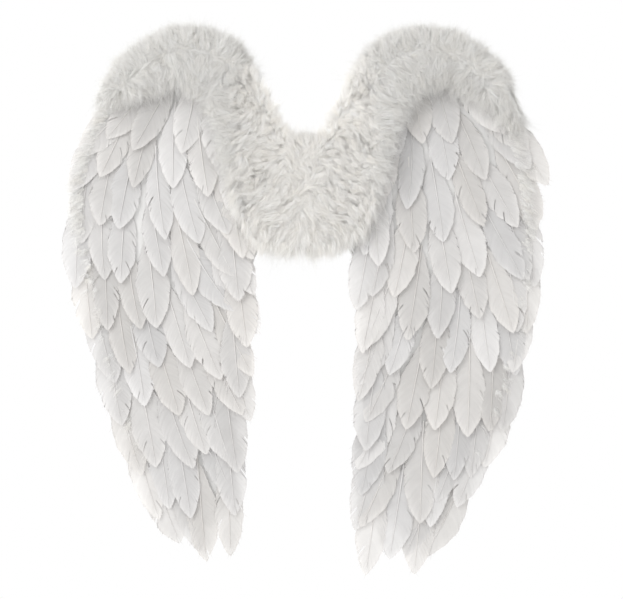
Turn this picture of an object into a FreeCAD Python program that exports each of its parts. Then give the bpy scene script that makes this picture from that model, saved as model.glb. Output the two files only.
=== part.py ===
"""A pair of costume wings: two feathered wings that fold on a fluffy centre yoke worn on the back.

Millimetres, +Z up, +X to the wearer's right, +Y towards the wearer's back. The origin is the centre of
the pad that lies against the back, so the feathers face -Y. Left is the wearer's left, at -X. Each wing is
drawn in (out, z), where out is the distance from the mid-plane, and side (-1 or +1) then turns it into X.
"""

import FreeCAD, Part

import math
import os

from FreeCAD import Vector

# ---- overall sizes ----
BOARD_REACH = 275.0  # mid-plane to the outermost edge of a wing board
BOARD_RISE = 172.0  # origin up to the top of a wing board
BOARD_DROP = 425.0  # origin down to the lowest point of the lower wing board

# ---- hinge at each wing root, where the frame wire's straight root leg turns in a sewn casing ----
WIRE_D = 3.0
HINGE_OUT = 50.0  # mid-plane to the hinge axis
CASING_LENGTH = 90.0
CASING_WALL = 1.6
CASING_CLEARANCE = 0.08  # radial, round the wire
CASING_LEAF = 20.0  # how far the casing's leaf reaches over the yoke board
LEG_PAST_CASING = 19.0  # the root leg stands out past each end of the casing
LEG_BEND_RADIUS = 18.0
LEG_HALF = CASING_LENGTH / 2 + LEG_PAST_CASING
ROOT_GAP = 5.0  # hinge axis to the root edge of the wing's layers
FOLD_SLOPE = 47.0  # degrees; the wing's fluff and the yoke's lean back from the hinge by this much

# ---- yoke ----
BOARD_TO_HINGE = 4.0
YOKE_BOARD_WIDTH = 2 * (HINGE_OUT - BOARD_TO_HINGE)
YOKE_BOARD_HEIGHT = CASING_LENGTH + 22.0
YOKE_BOARD_THICK = 2.0
YOKE_BOARD_CORNER = 6.0
STRAP_END_LENGTH = 10.0  # how far a strap is sewn on beside the pad
PAD_TO_STRAP = 3.0
PAD_WIDTH = YOKE_BOARD_WIDTH - 2 * (STRAP_END_LENGTH + PAD_TO_STRAP)
PAD_HEIGHT = YOKE_BOARD_HEIGHT - 8.0
PAD_THICK = 6.0
PAD_CORNER = 10.0
FELT_THICK = 1.2  # the front felt and the leaves of the hinge casings are this thick
FELT_TO_LEAF = 0.5

# ---- wing layers ----
WIRE_INSET = 11.0  # board edge to wire centre line
WING_BOARD_THICK = 1.2
LINING_THICK = 0.8
LINING_INSET = 3.0  # the lining stops this far inside the board's edge
LAYER_GAP = 0.05  # each layer to the wire between them

# ---- feathers ----
FEATHER_THICK = 0.6
FEATHER_CLEARANCE = 0.25  # between a feather and the ones it lies on
FEATHER_TILT = 0.040  # rise of a feather from its quill to its tip, per length
FEATHER_ROLL = 0.030  # rise of a feather from one side to the other, per width
FIRST_LENGTH, LAST_LENGTH = 104.0, 122.0  # feathers of the top and of the bottom row
FIRST_WIDTH, LAST_WIDTH = 39.0, 43.0
QUILL_PITCH = 0.66  # quills along a row are this share of a feather's width apart
CROWDED = 0.42  # a feather that ends up nearer than this to its neighbour's quill is left out
ROWS = 10
LAST_ROW_SHARE = 0.80  # the last row's quills are this far down the wing, as a share
OUTER_START = 0.66  # the outer ends of the rows start at this share of the board's width
INNER_START = 0.50  # and the inner ends at this share of the rise
ARCH_RISE = 30.0  # how far the top row arches up between its ends
OUTER_ROOM, INNER_ROOM = 0.14, 0.32  # board's edge to the nearest quill, as shares of a feather's width
YOKE_ROOM = 0.60  # and the same beside the yoke
STAGGER = 4.0  # every other quill of a row sits this much lower, and the rest this much higher
FEATHER_SWELL, FEATHER_BLUNT = 1.35, 0.55  # where a feather is widest, and how blunt its ends are
FEATHER_STATIONS = [0.0, 0.08, 0.25, 0.45, 0.65, 0.82, 0.93, 0.985]  # where its outline has corners
QUILL_END_HALF = 0.04  # half the width of its narrow end, as a share of its width
GUARD_OUT = HINGE_OUT + 14.0  # beside the yoke no feather comes nearer to the mid-plane
ABOVE_YOKE, BELOW_YOKE = 30.0, 12.0  # and that holds this far above and below the yoke's fluff
UNEVEN_LEAN = 7.0  # degrees; hand gluing turns each feather by up to this much
UNEVEN_PLACE = 3.5  # and shifts its quill down or up by up to this much
UNEVEN_SIDEWAYS = 2.1  # and sideways by up to this much
UNEVEN_LENGTH = 0.08  # and feathers differ in length by up to this share

# ---- marabou fluff ----
FLUFF_THICK = 26.0
FLUFF_MARGIN = 12.0  # how far the fluff stands out past the board's edge
FLUFF_LIP = 7.0  # how far the fluff's lip comes in over the board
FLUFF_OVER_FEATHERS = 0.6  # feathers to the fluff's back
FLUFF_LIP_BOTTOM = 0.74  # the lip ends at this share of the rise, and feathers pass below it
YOKE_FLUFF_TOP = YOKE_BOARD_HEIGHT / 2 + 2.0
YOKE_FLUFF_BOTTOM = -YOKE_BOARD_HEIGHT / 2 - 14.0
YOKE_FLUFF_HALF = HINGE_OUT - 7.0
FLUFF_CORD_D = 3.0
FLUFF_CORD_CLEARANCE = 0.2  # radial
FLUFF_CORD_INSET = 5.0  # board's edge to the cord over the shoulder
FLUFF_ABOVE_LEG, FLUFF_BELOW_YOKE = 14.0, 4.0  # how far the fluff's root side runs past the leg and the yoke
FLUFF_ROOT_GAP = 1.0  # root edge of the wing's layers to the fluff's root side
CORD_FOOT = (24.0, -10.0)  # where the wing's cord starts, as (out from the root edge, z)
CORD_START = (22.0, 36.0)
YOKE_CORD_PASSES = (-18.0, 4.0, 26.0)  # the yoke's cord: below its top, above its middle, above its bottom
YOKE_CORD_TAIL, YOKE_CORD_LOOP = 1.65, 1.25  # how far its tail and its loops go out, in half passes

# ---- shoulder straps of flat elastic ----
STRAP_THICK = 1.5
STRAP_WIDTH = 12.0
STRAP_ANCHOR_Z = 42.0
STRAP_AXIS_OUT = YOKE_BOARD_WIDTH / 2
STRAP_BEHIND_AXIS = 0.4  # axis to the elastic's front edge
STRAP_START = 1.0  # axis to where the free loop begins
STITCH_THICK = 0.5
STITCH_WIDTH = 1.2

# ---- planes, from the wearer's back to the front ----
BOARD_BACK_Y = -PAD_THICK
YOKE_FRONT_Y = BOARD_BACK_Y - YOKE_BOARD_THICK
WIRE_Y = BOARD_BACK_Y - YOKE_BOARD_THICK / 2
WING_BACK_Y = WIRE_Y - WIRE_D / 2 - LAYER_GAP
WING_FRONT_Y = WING_BACK_Y - WING_BOARD_THICK
LINING_FRONT_Y = WIRE_Y + WIRE_D / 2 + LAYER_GAP
STRAP_AXIS_Y = BOARD_BACK_Y + STRAP_THICK + 1.5
ROOT_OUT = HINGE_OUT + ROOT_GAP

# Board outlines, from the root leg's top over the shoulder, down the outer edge, round the tip and back up
# to the root leg's foot. Each point is (share of the board's width outside its root, share of the rise or
# of the drop). The two wings are wired up by hand and differ a little.
OUTLINES = {
    -1: [(0.05, 0.65), (0.195, 0.94), (0.43, 1.0), (0.695, 0.80), (0.825, 0.575), (0.925, 0.32),
         (1.0, -0.055), (0.94, -0.255), (0.775, -0.58), (0.515, -0.86), (0.27, -0.96), (0.155, -0.86),
         (0.13, -0.59), (0.07, -0.28)],
    1: [(0.03, 0.61), (0.195, 0.92), (0.455, 1.0), (0.705, 0.845), (0.895, 0.41), (0.985, -0.12),
        (0.96, -0.305), (0.83, -0.59), (0.605, -0.835), (0.34, -1.0), (0.185, -0.92), (0.095, -0.72),
        (0.07, -0.28)],
}
# Where the fluff on a wing ends among the feathers, in the same shares, from the outer shoulder to the root.
FLUFF_INNER = {
    -1: [(0.73, 0.64), (0.50, 0.75), (0.31, 0.68), (0.20, 0.38), (0.15, 0.05), (0.09, -0.085)],
    1: [(0.80, 0.56), (0.60, 0.75), (0.42, 0.76), (0.25, 0.46), (0.16, 0.05), (0.09, -0.10)],
}
# How feathers lean, in degrees from straight down and positive outwards. The rows run from the top of the
# wing to its tip, and each has five leans from the outer to the inner edge.
LEANS = {
    -1: [(48, 34, 6, -6, -6), (6, 14, -14, -24, -6), (-6, -8, -24, -28, 3), (-12, -12, -14, -22, 0),
         (-19, -16, -10, -10, 6), (-30, -24, -16, -8, 6)],
    1: [(44, 36, 12, 0, -4), (8, 32, 10, -10, -6), (0, 14, 0, -26, -4), (-10, -4, -4, -22, -5),
        (-23, -16, -8, -8, -4), (-32, -20, -10, -4, 2)],
}
# The hanging loop of a strap between its two ends, as (out from its axis, z).
STRAP_ROUTE = [(36.0, 37.0), (64.0, 2.0), (73.0, -62.0), (67.0, -128.0), (48.0, -160.0), (28.0, -134.0),
               (16.0, -86.0)]

SIDE_NAMES = {-1: "left", 1: "right"}


# ---------------------------------------------------------------- plane geometry in (out, z)


def placed(share, height_share):
    """A point given in shares of the board, as (out, z)."""
    out = ROOT_OUT + share * (BOARD_REACH - ROOT_OUT)
    return out, height_share * (BOARD_RISE if height_share > 0 else BOARD_DROP)


def outline_points(side):
    return [placed(*p) for p in OUTLINES[side]]


def spline_through(points, side, y):
    """A smooth edge through (out, z) points in the plane at y."""
    curve = Part.BSplineCurve()
    curve.interpolate([Vector(side * o, y, z) for o, z in points])
    return curve.toShape()


def moved_in(points, distance):
    """The points of an open outline, each moved to the inside of the wing along its own normal."""
    result = []
    for i, (o, z) in enumerate(points):
        before, after = points[max(i - 1, 0)], points[min(i + 1, len(points) - 1)]
        run = math.hypot(after[0] - before[0], after[1] - before[1])
        normal = ((after[1] - before[1]) / run, -(after[0] - before[0]) / run)
        result.append((o + distance * normal[0], z + distance * normal[1]))
    return result


def board_wire(side, y, inset=0.0):
    """The closed edge of a wing layer: the straight root, then one spline round the wing."""
    half = LEG_HALF - inset
    ends = [(ROOT_OUT, half), (ROOT_OUT, -half)]
    around = [ends[0]] + moved_in(outline_points(side), inset) + [ends[1]]
    root = Part.makeLine(Vector(side * ROOT_OUT, y, -half), Vector(side * ROOT_OUT, y, half))
    return Part.Wire([root, spline_through(around, side, y)])


def prism(wire, depth):
    """Solid from a closed wire in a plane of constant y, drawn out towards -Y by depth."""
    return Part.Face(wire).extrude(Vector(0, -depth, 0))


def box(x_low, x_high, y_low, y_high, z_low, z_high):
    return Part.makeBox(x_high - x_low, y_high - y_low, z_high - z_low, Vector(x_low, y_low, z_low))


def side_box(side, out_low, out_high, y_low, y_high, z_low, z_high):
    x_low, x_high = sorted((side * out_low, side * out_high))
    return box(x_low, x_high, y_low, y_high, z_low, z_high)


def rounded_path(points, largest_radius=None):
    """Straight runs joined by tangent arcs through 3D points. Returns (wire, smallest radius)."""
    edges, radii, at = [], [], points[0]
    for before, corner, after in zip(points, points[1:], points[2:]):
        inward, outward = (before - corner), (after - corner)
        run = min(inward.Length, outward.Length)
        half_turn = (math.pi - inward.getAngle(outward)) / 2
        radius = 0.45 * run / math.tan(half_turn)
        if largest_radius is not None:
            radius = min(radius, largest_radius.get(len(radii), radius))
        reach = radius * math.tan(half_turn)
        start = corner + inward.normalize() * reach
        end = corner + outward.normalize() * reach
        bisector = (start + end) * 0.5 - corner
        middle = corner + bisector.normalize() * (radius / math.cos(half_turn) - radius)
        edges.append(Part.LineSegment(at, start).toShape())
        edges.append(Part.Arc(start, middle, end).toShape())
        radii.append(radius)
        at = end
    edges.append(Part.LineSegment(at, points[-1]).toShape())
    return Part.Wire(edges), min(radii)


def tube_along(points, diameter, label, largest_radius=None):
    """A round bar along a rounded path, with its volume compared with section times length."""
    path, smallest = rounded_path(points, largest_radius)
    start = points[0]
    ring = Part.Wire(Part.makeCircle(diameter / 2, start, points[1] - start))
    solid = path.makePipeShell([ring], True, False)
    expected = math.pi * diameter ** 2 / 4 * path.Length
    print(f"{label}: length {path.Length:.0f}, smallest radius {smallest:.1f}, "
          f"volume ratio {solid.Volume / expected:.4f}")
    return solid


# ---------------------------------------------------------------- yoke


def yoke_board():
    half_w, half_h = YOKE_BOARD_WIDTH / 2, YOKE_BOARD_HEIGHT / 2
    board = box(-half_w, half_w, YOKE_FRONT_Y, BOARD_BACK_Y, -half_h, half_h)
    corners = [e for e in board.Edges if abs(e.tangentAt(e.FirstParameter).y) > 0.99]
    return board.makeFillet(YOKE_BOARD_CORNER, corners)


def yoke_pad():
    half_w, half_h = PAD_WIDTH / 2, PAD_HEIGHT / 2
    pad = box(-half_w, half_w, BOARD_BACK_Y, 0, -half_h, half_h)
    corners = [e for e in pad.Edges if abs(e.tangentAt(e.FirstParameter).y) > 0.99]
    return pad.makeFillet(PAD_CORNER, corners)


def yoke_felt():
    """Felt that fills the yoke board's front between the two casing leaves."""
    half_w = HINGE_OUT - CASING_LEAF - FELT_TO_LEAF
    half_h = YOKE_BOARD_HEIGHT / 2
    return box(-half_w, half_w, YOKE_FRONT_Y - FELT_THICK, YOKE_FRONT_Y, -half_h, half_h)


def hinge_casing(side):
    """Doubled tape round the root leg: a tube, with a leaf glued to the yoke board's front."""
    bore_radius = WIRE_D / 2 + CASING_CLEARANCE
    foot = Vector(side * HINGE_OUT, WIRE_Y, -CASING_LENGTH / 2)
    up = Vector(0, 0, 1)
    sleeve = Part.makeCylinder(bore_radius + CASING_WALL, CASING_LENGTH, foot, up)
    leaf = side_box(side, HINGE_OUT - CASING_LEAF, HINGE_OUT, YOKE_FRONT_Y - FELT_THICK, YOKE_FRONT_Y,
                    -CASING_LENGTH / 2, CASING_LENGTH / 2)
    casing = sleeve.fuse(leaf).removeSplitter()
    board_edge = side_box(side, 0, YOKE_BOARD_WIDTH / 2, YOKE_FRONT_Y, BOARD_BACK_Y,
                          -CASING_LENGTH / 2, CASING_LENGTH / 2)
    return casing.cut(board_edge).cut(Part.makeCylinder(bore_radius, CASING_LENGTH, foot, up))


def yoke_fluff_profile():
    """The yoke fluff's section in (x, y): as wide as the yoke at the back, leaning in to the front."""
    back_y = YOKE_FRONT_Y - FELT_THICK
    front_y = WING_FRONT_Y - FLUFF_THICK
    lean = (back_y - front_y) * math.tan(math.radians(90 - FOLD_SLOPE))
    return [(-YOKE_FLUFF_HALF, back_y), (YOKE_FLUFF_HALF, back_y),
            (YOKE_FLUFF_HALF - lean, front_y), (-YOKE_FLUFF_HALF + lean, front_y)]


def yoke_fluff_cord_path():
    """The fluff's cord: sewn across the yoke three times, from the top to the bottom."""
    y = YOKE_FRONT_Y - FELT_THICK - FLUFF_CORD_D
    turn_x = YOKE_FLUFF_HALF / 2
    middle = (YOKE_FLUFF_TOP + YOKE_FLUFF_BOTTOM) / 2
    heights = [z + shift for z, shift in zip((YOKE_FLUFF_TOP, middle, YOKE_FLUFF_BOTTOM), YOKE_CORD_PASSES)]
    points = [Vector(-turn_x * YOKE_CORD_TAIL, y, heights[0])]
    for i, z in enumerate(heights):
        end = turn_x if i % 2 == 0 else -turn_x
        points.append(Vector(end, y, z))
        if i + 1 < len(heights):
            points.append(Vector(end * YOKE_CORD_LOOP, y, (z + heights[i + 1]) / 2))
            points.append(Vector(end, y, heights[i + 1]))
    return points


def yoke_fluff():
    corners = [Vector(x, y, YOKE_FLUFF_BOTTOM) for x, y in yoke_fluff_profile()]
    face = Part.Face(Part.makePolygon(corners + corners[:1]))
    return face.extrude(Vector(0, 0, YOKE_FLUFF_TOP - YOKE_FLUFF_BOTTOM))


def strap_ends(side):
    """The two sewn ends of a strap, flat on the yoke board's back beside the pad."""
    ends = []
    for z in (STRAP_ANCHOR_Z, -STRAP_ANCHOR_Z):
        ends.append(side_box(side, STRAP_AXIS_OUT - STRAP_END_LENGTH, STRAP_AXIS_OUT - 0.3, BOARD_BACK_Y,
                             BOARD_BACK_Y + STRAP_THICK, z - STRAP_WIDTH / 2, z + STRAP_WIDTH / 2))
    return Part.Compound(ends)


def strap_stitches(side):
    """A bar of thread over each sewn strap end."""
    bars = []
    y = BOARD_BACK_Y + STRAP_THICK
    middle = STRAP_AXIS_OUT - STRAP_END_LENGTH / 2
    for z in (STRAP_ANCHOR_Z, -STRAP_ANCHOR_Z):
        for shift in (-STITCH_WIDTH * 1.5, STITCH_WIDTH * 1.5):
            bars.append(side_box(side, middle + shift - STITCH_WIDTH / 2, middle + shift + STITCH_WIDTH / 2,
                                 y, y + STITCH_THICK, z - STRAP_WIDTH / 2 + 1, z + STRAP_WIDTH / 2 - 1))
    return Part.Compound(bars)


# ---------------------------------------------------------------- shoulder straps


def strap(side):
    """The free loop of a strap, on edge behind the wing: a band between two offset paths."""
    start = STRAP_AXIS_OUT + STRAP_START
    loop = [(STRAP_AXIS_OUT + o, z) for o, z in STRAP_ROUTE]
    route = [(start, STRAP_ANCHOR_Z)] + loop + [(start, -STRAP_ANCHOR_Z)]
    y = STRAP_AXIS_Y - STRAP_BEHIND_AXIS
    path, smallest = rounded_path([Vector(side * o, y, z) for o, z in route])
    first = Vector(side * route[0][0], y, route[0][1])
    along = (Vector(side * route[1][0], y, route[1][1]) - first).normalize()
    across = Vector(-along.z, 0, along.x) * (STRAP_THICK / 2)
    depth = Vector(0, STRAP_WIDTH, 0)
    ring = Part.makePolygon([first + across, first - across, first - across + depth,
                             first + across + depth, first + across])
    band = path.makePipeShell([ring], True, False)
    print(f"{SIDE_NAMES[side]} strap: length {path.Length:.0f}, smallest radius {smallest:.1f}, "
          f"volume ratio {band.Volume / (STRAP_THICK * STRAP_WIDTH * path.Length):.4f}")
    return band


# ---------------------------------------------------------------- wing frame and layers


def frame_wire(side):
    """One wire bent round inside the wing's edge, whose two ends meet in the middle of the root leg."""
    around = moved_in(outline_points(side), WIRE_INSET)
    route = [(HINGE_OUT, 0.5), (HINGE_OUT, LEG_HALF)] + around + [(HINGE_OUT, -LEG_HALF), (HINGE_OUT, -0.5)]
    points = [Vector(side * o, WIRE_Y, z) for o, z in route]
    root_bends = {0: LEG_BEND_RADIUS, len(points) - 3: LEG_BEND_RADIUS}
    return tube_along(points, WIRE_D, f"{SIDE_NAMES[side]} frame wire", root_bends)


def wing_board(side):
    return prism(board_wire(side, WING_BACK_Y), WING_BOARD_THICK)


def wing_lining(side):
    return prism(board_wire(side, LINING_FRONT_Y + LINING_THICK, LINING_INSET), LINING_THICK)


# ---------------------------------------------------------------- feathers


def along_polyline(points, share):
    """The point at a share of the length of a polyline."""
    lengths = [math.dist(a, b) for a, b in zip(points, points[1:])]
    left = share * sum(lengths)
    for (a, b), length in zip(zip(points, points[1:]), lengths):
        if left <= length:
            break
        left -= length
    return a[0] + (b[0] - a[0]) * left / length, a[1] + (b[1] - a[1]) * left / length


def fine_outline(side):
    """Close-set points along the board's spline, with the places of the outline's points in them."""
    edge = spline_through([(ROOT_OUT, LEG_HALF)] + outline_points(side) + [(ROOT_OUT, -LEG_HALF)], side, 0)
    return [(side * p.x, p.z) for p in edge.discretize(241)]


class WingMap:
    """Rows across a wing: at(s, t) has s from 0 at the top to 1 at the tip, and t from -1 at the outer edge
    to 1 at the inner edge."""

    def __init__(self, side):
        points = fine_outline(side)
        tip = min(range(len(points)), key=lambda i: points[i][1])
        inner_top = next(i for i, p in enumerate(points) if p[1] > INNER_START * BOARD_RISE)
        shoulder = next(i for i, p in enumerate(points)
                        if i > inner_top and p[0] > placed(OUTER_START, 1)[0])
        self.side = side
        self.outer = points[shoulder:tip + 1]
        self.inner = points[inner_top::-1] + points[:tip - 1:-1]

    def ends(self, s):
        return along_polyline(self.outer, s), along_polyline(self.inner, s)

    def at(self, s, t):
        outer, inner = self.ends(s)
        arch = ARCH_RISE * (1 - t * t) * (1 - s) ** 2
        mix = (1 - t) / 2
        return mix * outer[0] + (1 - mix) * inner[0], mix * outer[1] + (1 - mix) * inner[1] + arch

    def lean(self, s, t):
        """Feather angle from straight down, in radians, from the table of leans."""
        table = LEANS[self.side]
        down = min(max(s, 0), 0.999) * (len(table) - 1)
        over = min(max((t + 1) / 2, 0), 0.999) * (len(table[0]) - 1)
        above, below = table[int(down)], table[int(down) + 1]
        near, far = [a + (b - a) * (down - int(down)) for a, b in zip(above, below)][int(over):int(over) + 2]
        return math.radians(near + (far - near) * (over - int(over)))


def uneven(number):
    """A repeatable irregular value between -1 and 1."""
    return 2 * (math.sin(number * 12.9898 + 4.1414) * 43758.5453 % 1) - 1


def half_width(u):
    """Half the width of a feather at a share u of its length, as a share of its full width."""
    return 0.5 * math.sin(math.pi * u ** FEATHER_SWELL) ** FEATHER_BLUNT


def feather_outline(base, angle, length, width):
    """Corners of a flat feather in (out, z), round it once."""
    along = (math.sin(angle), -math.cos(angle))
    across = (math.cos(angle), math.sin(angle))
    halves = [(u * length, max(half_width(u), QUILL_END_HALF) * width) for u in FEATHER_STATIONS]
    ring = halves + [(u, -v) for u, v in reversed(halves)]
    return [(base[0] + u * along[0] + v * across[0], base[1] + u * along[1] + v * across[1])
            for u, v in ring]


def clipped(subject, window):
    """The part of a convex polygon inside another one. Both run the same way round."""
    turn = sum(a[0] * b[1] - b[0] * a[1] for a, b in zip(window, window[1:] + window[:1]))
    for a, b in zip(window, window[1:] + window[:1]):
        def inside(p):
            return ((b[0] - a[0]) * (p[1] - a[1]) - (b[1] - a[1]) * (p[0] - a[0])) * turn >= 0

        kept = []
        for p, q in zip(subject, subject[1:] + subject[:1]):
            if inside(p):
                kept.append(p)
            if inside(p) != inside(q):
                edge = (b[0] - a[0], b[1] - a[1])
                step = (q[0] - p[0], q[1] - p[1])
                share = ((a[0] - p[0]) * edge[1] - (a[1] - p[1]) * edge[0]) / (
                    step[0] * edge[1] - step[1] * edge[0])
                kept.append((p[0] + share * step[0], p[1] + share * step[1]))
        subject = kept
        if not subject:
            return []
    return subject


class Feather:
    """A flat, slightly tilted plate. height(p) is how far its back stands in front of the board."""

    def __init__(self, base, angle, length, width):
        self.base, self.angle, self.length, self.width = base, angle, length, width
        self.ring = feather_outline(base, angle, length, width)
        self.lift = 0.0

    def height(self, point):
        o, z = point[0] - self.base[0], point[1] - self.base[1]
        down = o * math.sin(self.angle) - z * math.cos(self.angle)
        over = o * math.cos(self.angle) + z * math.sin(self.angle)
        return self.lift + FEATHER_TILT * down + FEATHER_ROLL * over

    def moved(self, out, up, turn=0.0):
        """The feather with its quill shifted, and turned outwards by some radians."""
        base = (self.base[0] + out, self.base[1] + up)
        return Feather(base, self.angle + turn, self.length, self.width)

    def rest_on(self, laid):
        """Lifts the feather until it clears the board and every feather that is already there."""
        self.lift = max(FEATHER_CLEARANCE - self.height(p) for p in self.ring)
        for other in laid:
            for p in clipped(self.ring, other.ring):
                needed = other.height(p) + FEATHER_THICK + FEATHER_CLEARANCE
                self.lift = max(self.lift, self.lift + needed - self.height(p))

    def solid(self, side):
        back = [Vector(side * o, WING_FRONT_Y - self.height((o, z)), z) for o, z in self.ring]
        face = Part.Face(Part.makePolygon(back + back[:1]))
        return face.extrude(Vector(0, -FEATHER_THICK, 0))


def clear_of_yoke(feather):
    """The feather moved and turned outwards until none of it is near the yoke."""
    low, high = YOKE_FLUFF_BOTTOM - BELOW_YOKE, YOKE_FLUFF_TOP + ABOVE_YOKE
    for _ in range(60):
        near = [o for o, z in feather.ring if low < z < high]
        if not near or min(near) >= GUARD_OUT:
            break
        feather = feather.moved(1.0, 0.0, math.radians(1.0))
    return feather


def below_lip(feather, edge):
    """The feather moved down until none of it is under the fluff's lip. The edge is the lip's inner edge."""
    corner_spacing = 0.2 * feather.length
    for _ in range(60):
        high = [p for p in feather.ring if p[1] > FLUFF_LIP_BOTTOM * BOARD_RISE - corner_spacing]
        if all(inside_polygon(p, edge) for p in high):
            break
        feather = feather.moved(0.0, -1.5)
    return feather


def inside_polygon(point, polygon):
    hits = 0
    for a, b in zip(polygon, polygon[1:] + polygon[:1]):
        if (a[1] > point[1]) != (b[1] > point[1]):
            cross = a[0] + (point[1] - a[1]) / (b[1] - a[1]) * (b[0] - a[0])
            hits += cross > point[0]
    return hits % 2 == 1


def row_feathers(side, wing_map, row):
    """The feathers of one row, spread between the outer and the inner edge."""
    ratio = row / (ROWS - 1)
    s = LAST_ROW_SHARE * ratio
    length = FIRST_LENGTH + (LAST_LENGTH - FIRST_LENGTH) * ratio
    width = FIRST_WIDTH + (LAST_WIDTH - FIRST_WIDTH) * ratio
    half_span = math.dist(*wing_map.ends(s)) / 2
    beside_yoke = wing_map.ends(s)[1][1] > YOKE_FLUFF_BOTTOM - length / 3
    inner_room = YOKE_ROOM if beside_yoke else INNER_ROOM
    first, last = -1 + OUTER_ROOM * width / half_span, 1 - inner_room * width / half_span
    count = max(2, round((last - first) * half_span / (QUILL_PITCH * width)) + 1)
    lip_edge = moved_in(fine_outline(side), FLUFF_LIP + 1)
    feathers = []
    for i in range(count):
        seed = side * 7 + row * 17 + i * 3
        t = first + (last - first) * i / (count - 1)
        down = (STAGGER if i % 2 else -STAGGER) + UNEVEN_PLACE * uneven(seed)
        base = wing_map.at(s, t)
        base = (base[0] + UNEVEN_SIDEWAYS * uneven(seed + 0.3), base[1] + down)
        turn = UNEVEN_LEAN * uneven(seed + 0.7) * (1 - 0.7 * abs(t))
        angle = wing_map.lean(s, t) + math.radians(turn)
        own_length = length * (1 + UNEVEN_LENGTH * uneven(seed + 0.9))
        feather = Feather(base, angle, own_length, width)
        feather = below_lip(clear_of_yoke(feather), lip_edge)
        if not feathers or math.dist(feather.base, feathers[-1].base) > CROWDED * width:
            feathers.append(feather)
    return feathers


def lay_feathers(side):
    """Rows from the tip up and from the outer edge in, as they are glued: each feather rests on those laid
    before it. Returns them by row, with the depth of the whole stack."""
    wing_map = WingMap(side)
    rows, laid = {}, []
    for row in reversed(range(ROWS)):
        rows[row] = row_feathers(side, wing_map, row)
        for feather in rows[row]:
            feather.rest_on(laid)
            laid.append(feather)
    tallest = max(f.height(p) for f in laid for p in f.ring) + FEATHER_THICK
    print(f"{SIDE_NAMES[side]} wing: {len(laid)} feathers, {tallest:.1f} deep")
    return rows, tallest


# ---------------------------------------------------------------- marabou fluff on a wing


def fluff_outer_points(side):
    """The fluff's outer edge from its root, over the shoulder to where it thins out."""
    over = moved_in(outline_points(side)[:5], -FLUFF_MARGIN)
    return [(ROOT_OUT + FLUFF_ROOT_GAP, LEG_HALF + FLUFF_ABOVE_LEG)] + over


def fluff_wire(side, y):
    outer = fluff_outer_points(side)
    inner = [placed(*p) for p in FLUFF_INNER[side]]
    foot = (ROOT_OUT + FLUFF_ROOT_GAP, YOKE_FLUFF_BOTTOM - FLUFF_BELOW_YOKE)
    return Part.Wire([
        Part.makeLine(Vector(side * foot[0], y, foot[1]), Vector(side * outer[0][0], y, outer[0][1])),
        spline_through(outer, side, y),
        spline_through([outer[-1]] + inner + [foot], side, y),
    ])


def fluff_cord_route(side, standoff):
    """The cord that the fluff is tied to, over the shoulder inside the wing's edge."""
    over = moved_in(outline_points(side)[:5], FLUFF_CORD_INSET)
    y = WING_FRONT_Y - standoff - FLUFF_CORD_D
    foot, start = [(ROOT_OUT + o, z) for o, z in (CORD_FOOT, CORD_START)]
    return [Vector(side * o, y, z) for o, z in [foot, start] + over]


def wing_fluff(side, standoff):
    """The fluff on a wing's shoulder: a thick crescent that clears the feathers under it, a lip that comes
    back to the board along the edge, and a root side that leans away from the hinge."""
    body = prism(fluff_wire(side, WING_FRONT_Y - standoff), FLUFF_THICK - standoff)
    lip = prism(fluff_wire(side, WING_FRONT_Y), standoff)
    lip = lip.cut(prism(board_wire(side, WING_FRONT_Y + 1, FLUFF_LIP), standoff + 2))
    lip = lip.cut(side_box(side, 0, BOARD_REACH * 2, WING_FRONT_Y - standoff - 1,
                           WING_FRONT_Y + 1, -BOARD_DROP, FLUFF_LIP_BOTTOM * BOARD_RISE))
    fluff = body.fuse(lip).removeSplitter()
    lean = math.tan(math.radians(FOLD_SLOPE)) * FLUFF_THICK
    start = ROOT_OUT + FLUFF_ROOT_GAP
    wedge = [(0, WING_FRONT_Y + 1), (start, WING_FRONT_Y + 1), (start, WING_FRONT_Y),
             (start + lean, WING_FRONT_Y - FLUFF_THICK), (start + lean, WING_FRONT_Y - FLUFF_THICK - 5),
             (0, WING_FRONT_Y - FLUFF_THICK - 5)]
    corners = [Vector(side * o, y, -BOARD_DROP) for o, y in wedge]
    face = Part.Face(Part.makePolygon(corners + corners[:1]))
    return fluff.cut(face.extrude(Vector(0, 0, BOARD_DROP + BOARD_RISE + 100)))


# ---------------------------------------------------------------- export


def with_channel(fluff, route):
    """The fluff with a channel for its cord."""
    path, _ = rounded_path(route)
    ring = Part.Wire(Part.makeCircle(FLUFF_CORD_D / 2 + FLUFF_CORD_CLEARANCE, route[0], route[1] - route[0]))
    return fluff.cut(path.makePipeShell([ring], True, False))


def save(shape, name):
    for solid in shape.Solids:
        if not solid.isValid() or solid.Volume <= 0:
            print("not a valid solid:", name)
    shape.exportStep(os.path.join("parts", name + ".step"))


def save_yoke():
    save(yoke_board(), "yoke_board")
    save(yoke_pad(), "back_pad")
    save(yoke_felt(), "front_felt")
    route = yoke_fluff_cord_path()
    save(with_channel(yoke_fluff(), route), "yoke_marabou")
    save(tube_along(route, FLUFF_CORD_D, "yoke marabou cord"), "yoke_marabou_cord")
    for side, name in SIDE_NAMES.items():
        save(hinge_casing(side), f"{name}_hinge_casing")
        save(strap_ends(side), f"{name}_strap_ends")
        save(strap_stitches(side), f"{name}_strap_stitches")
        save(strap(side), f"{name}_shoulder_strap")


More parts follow.
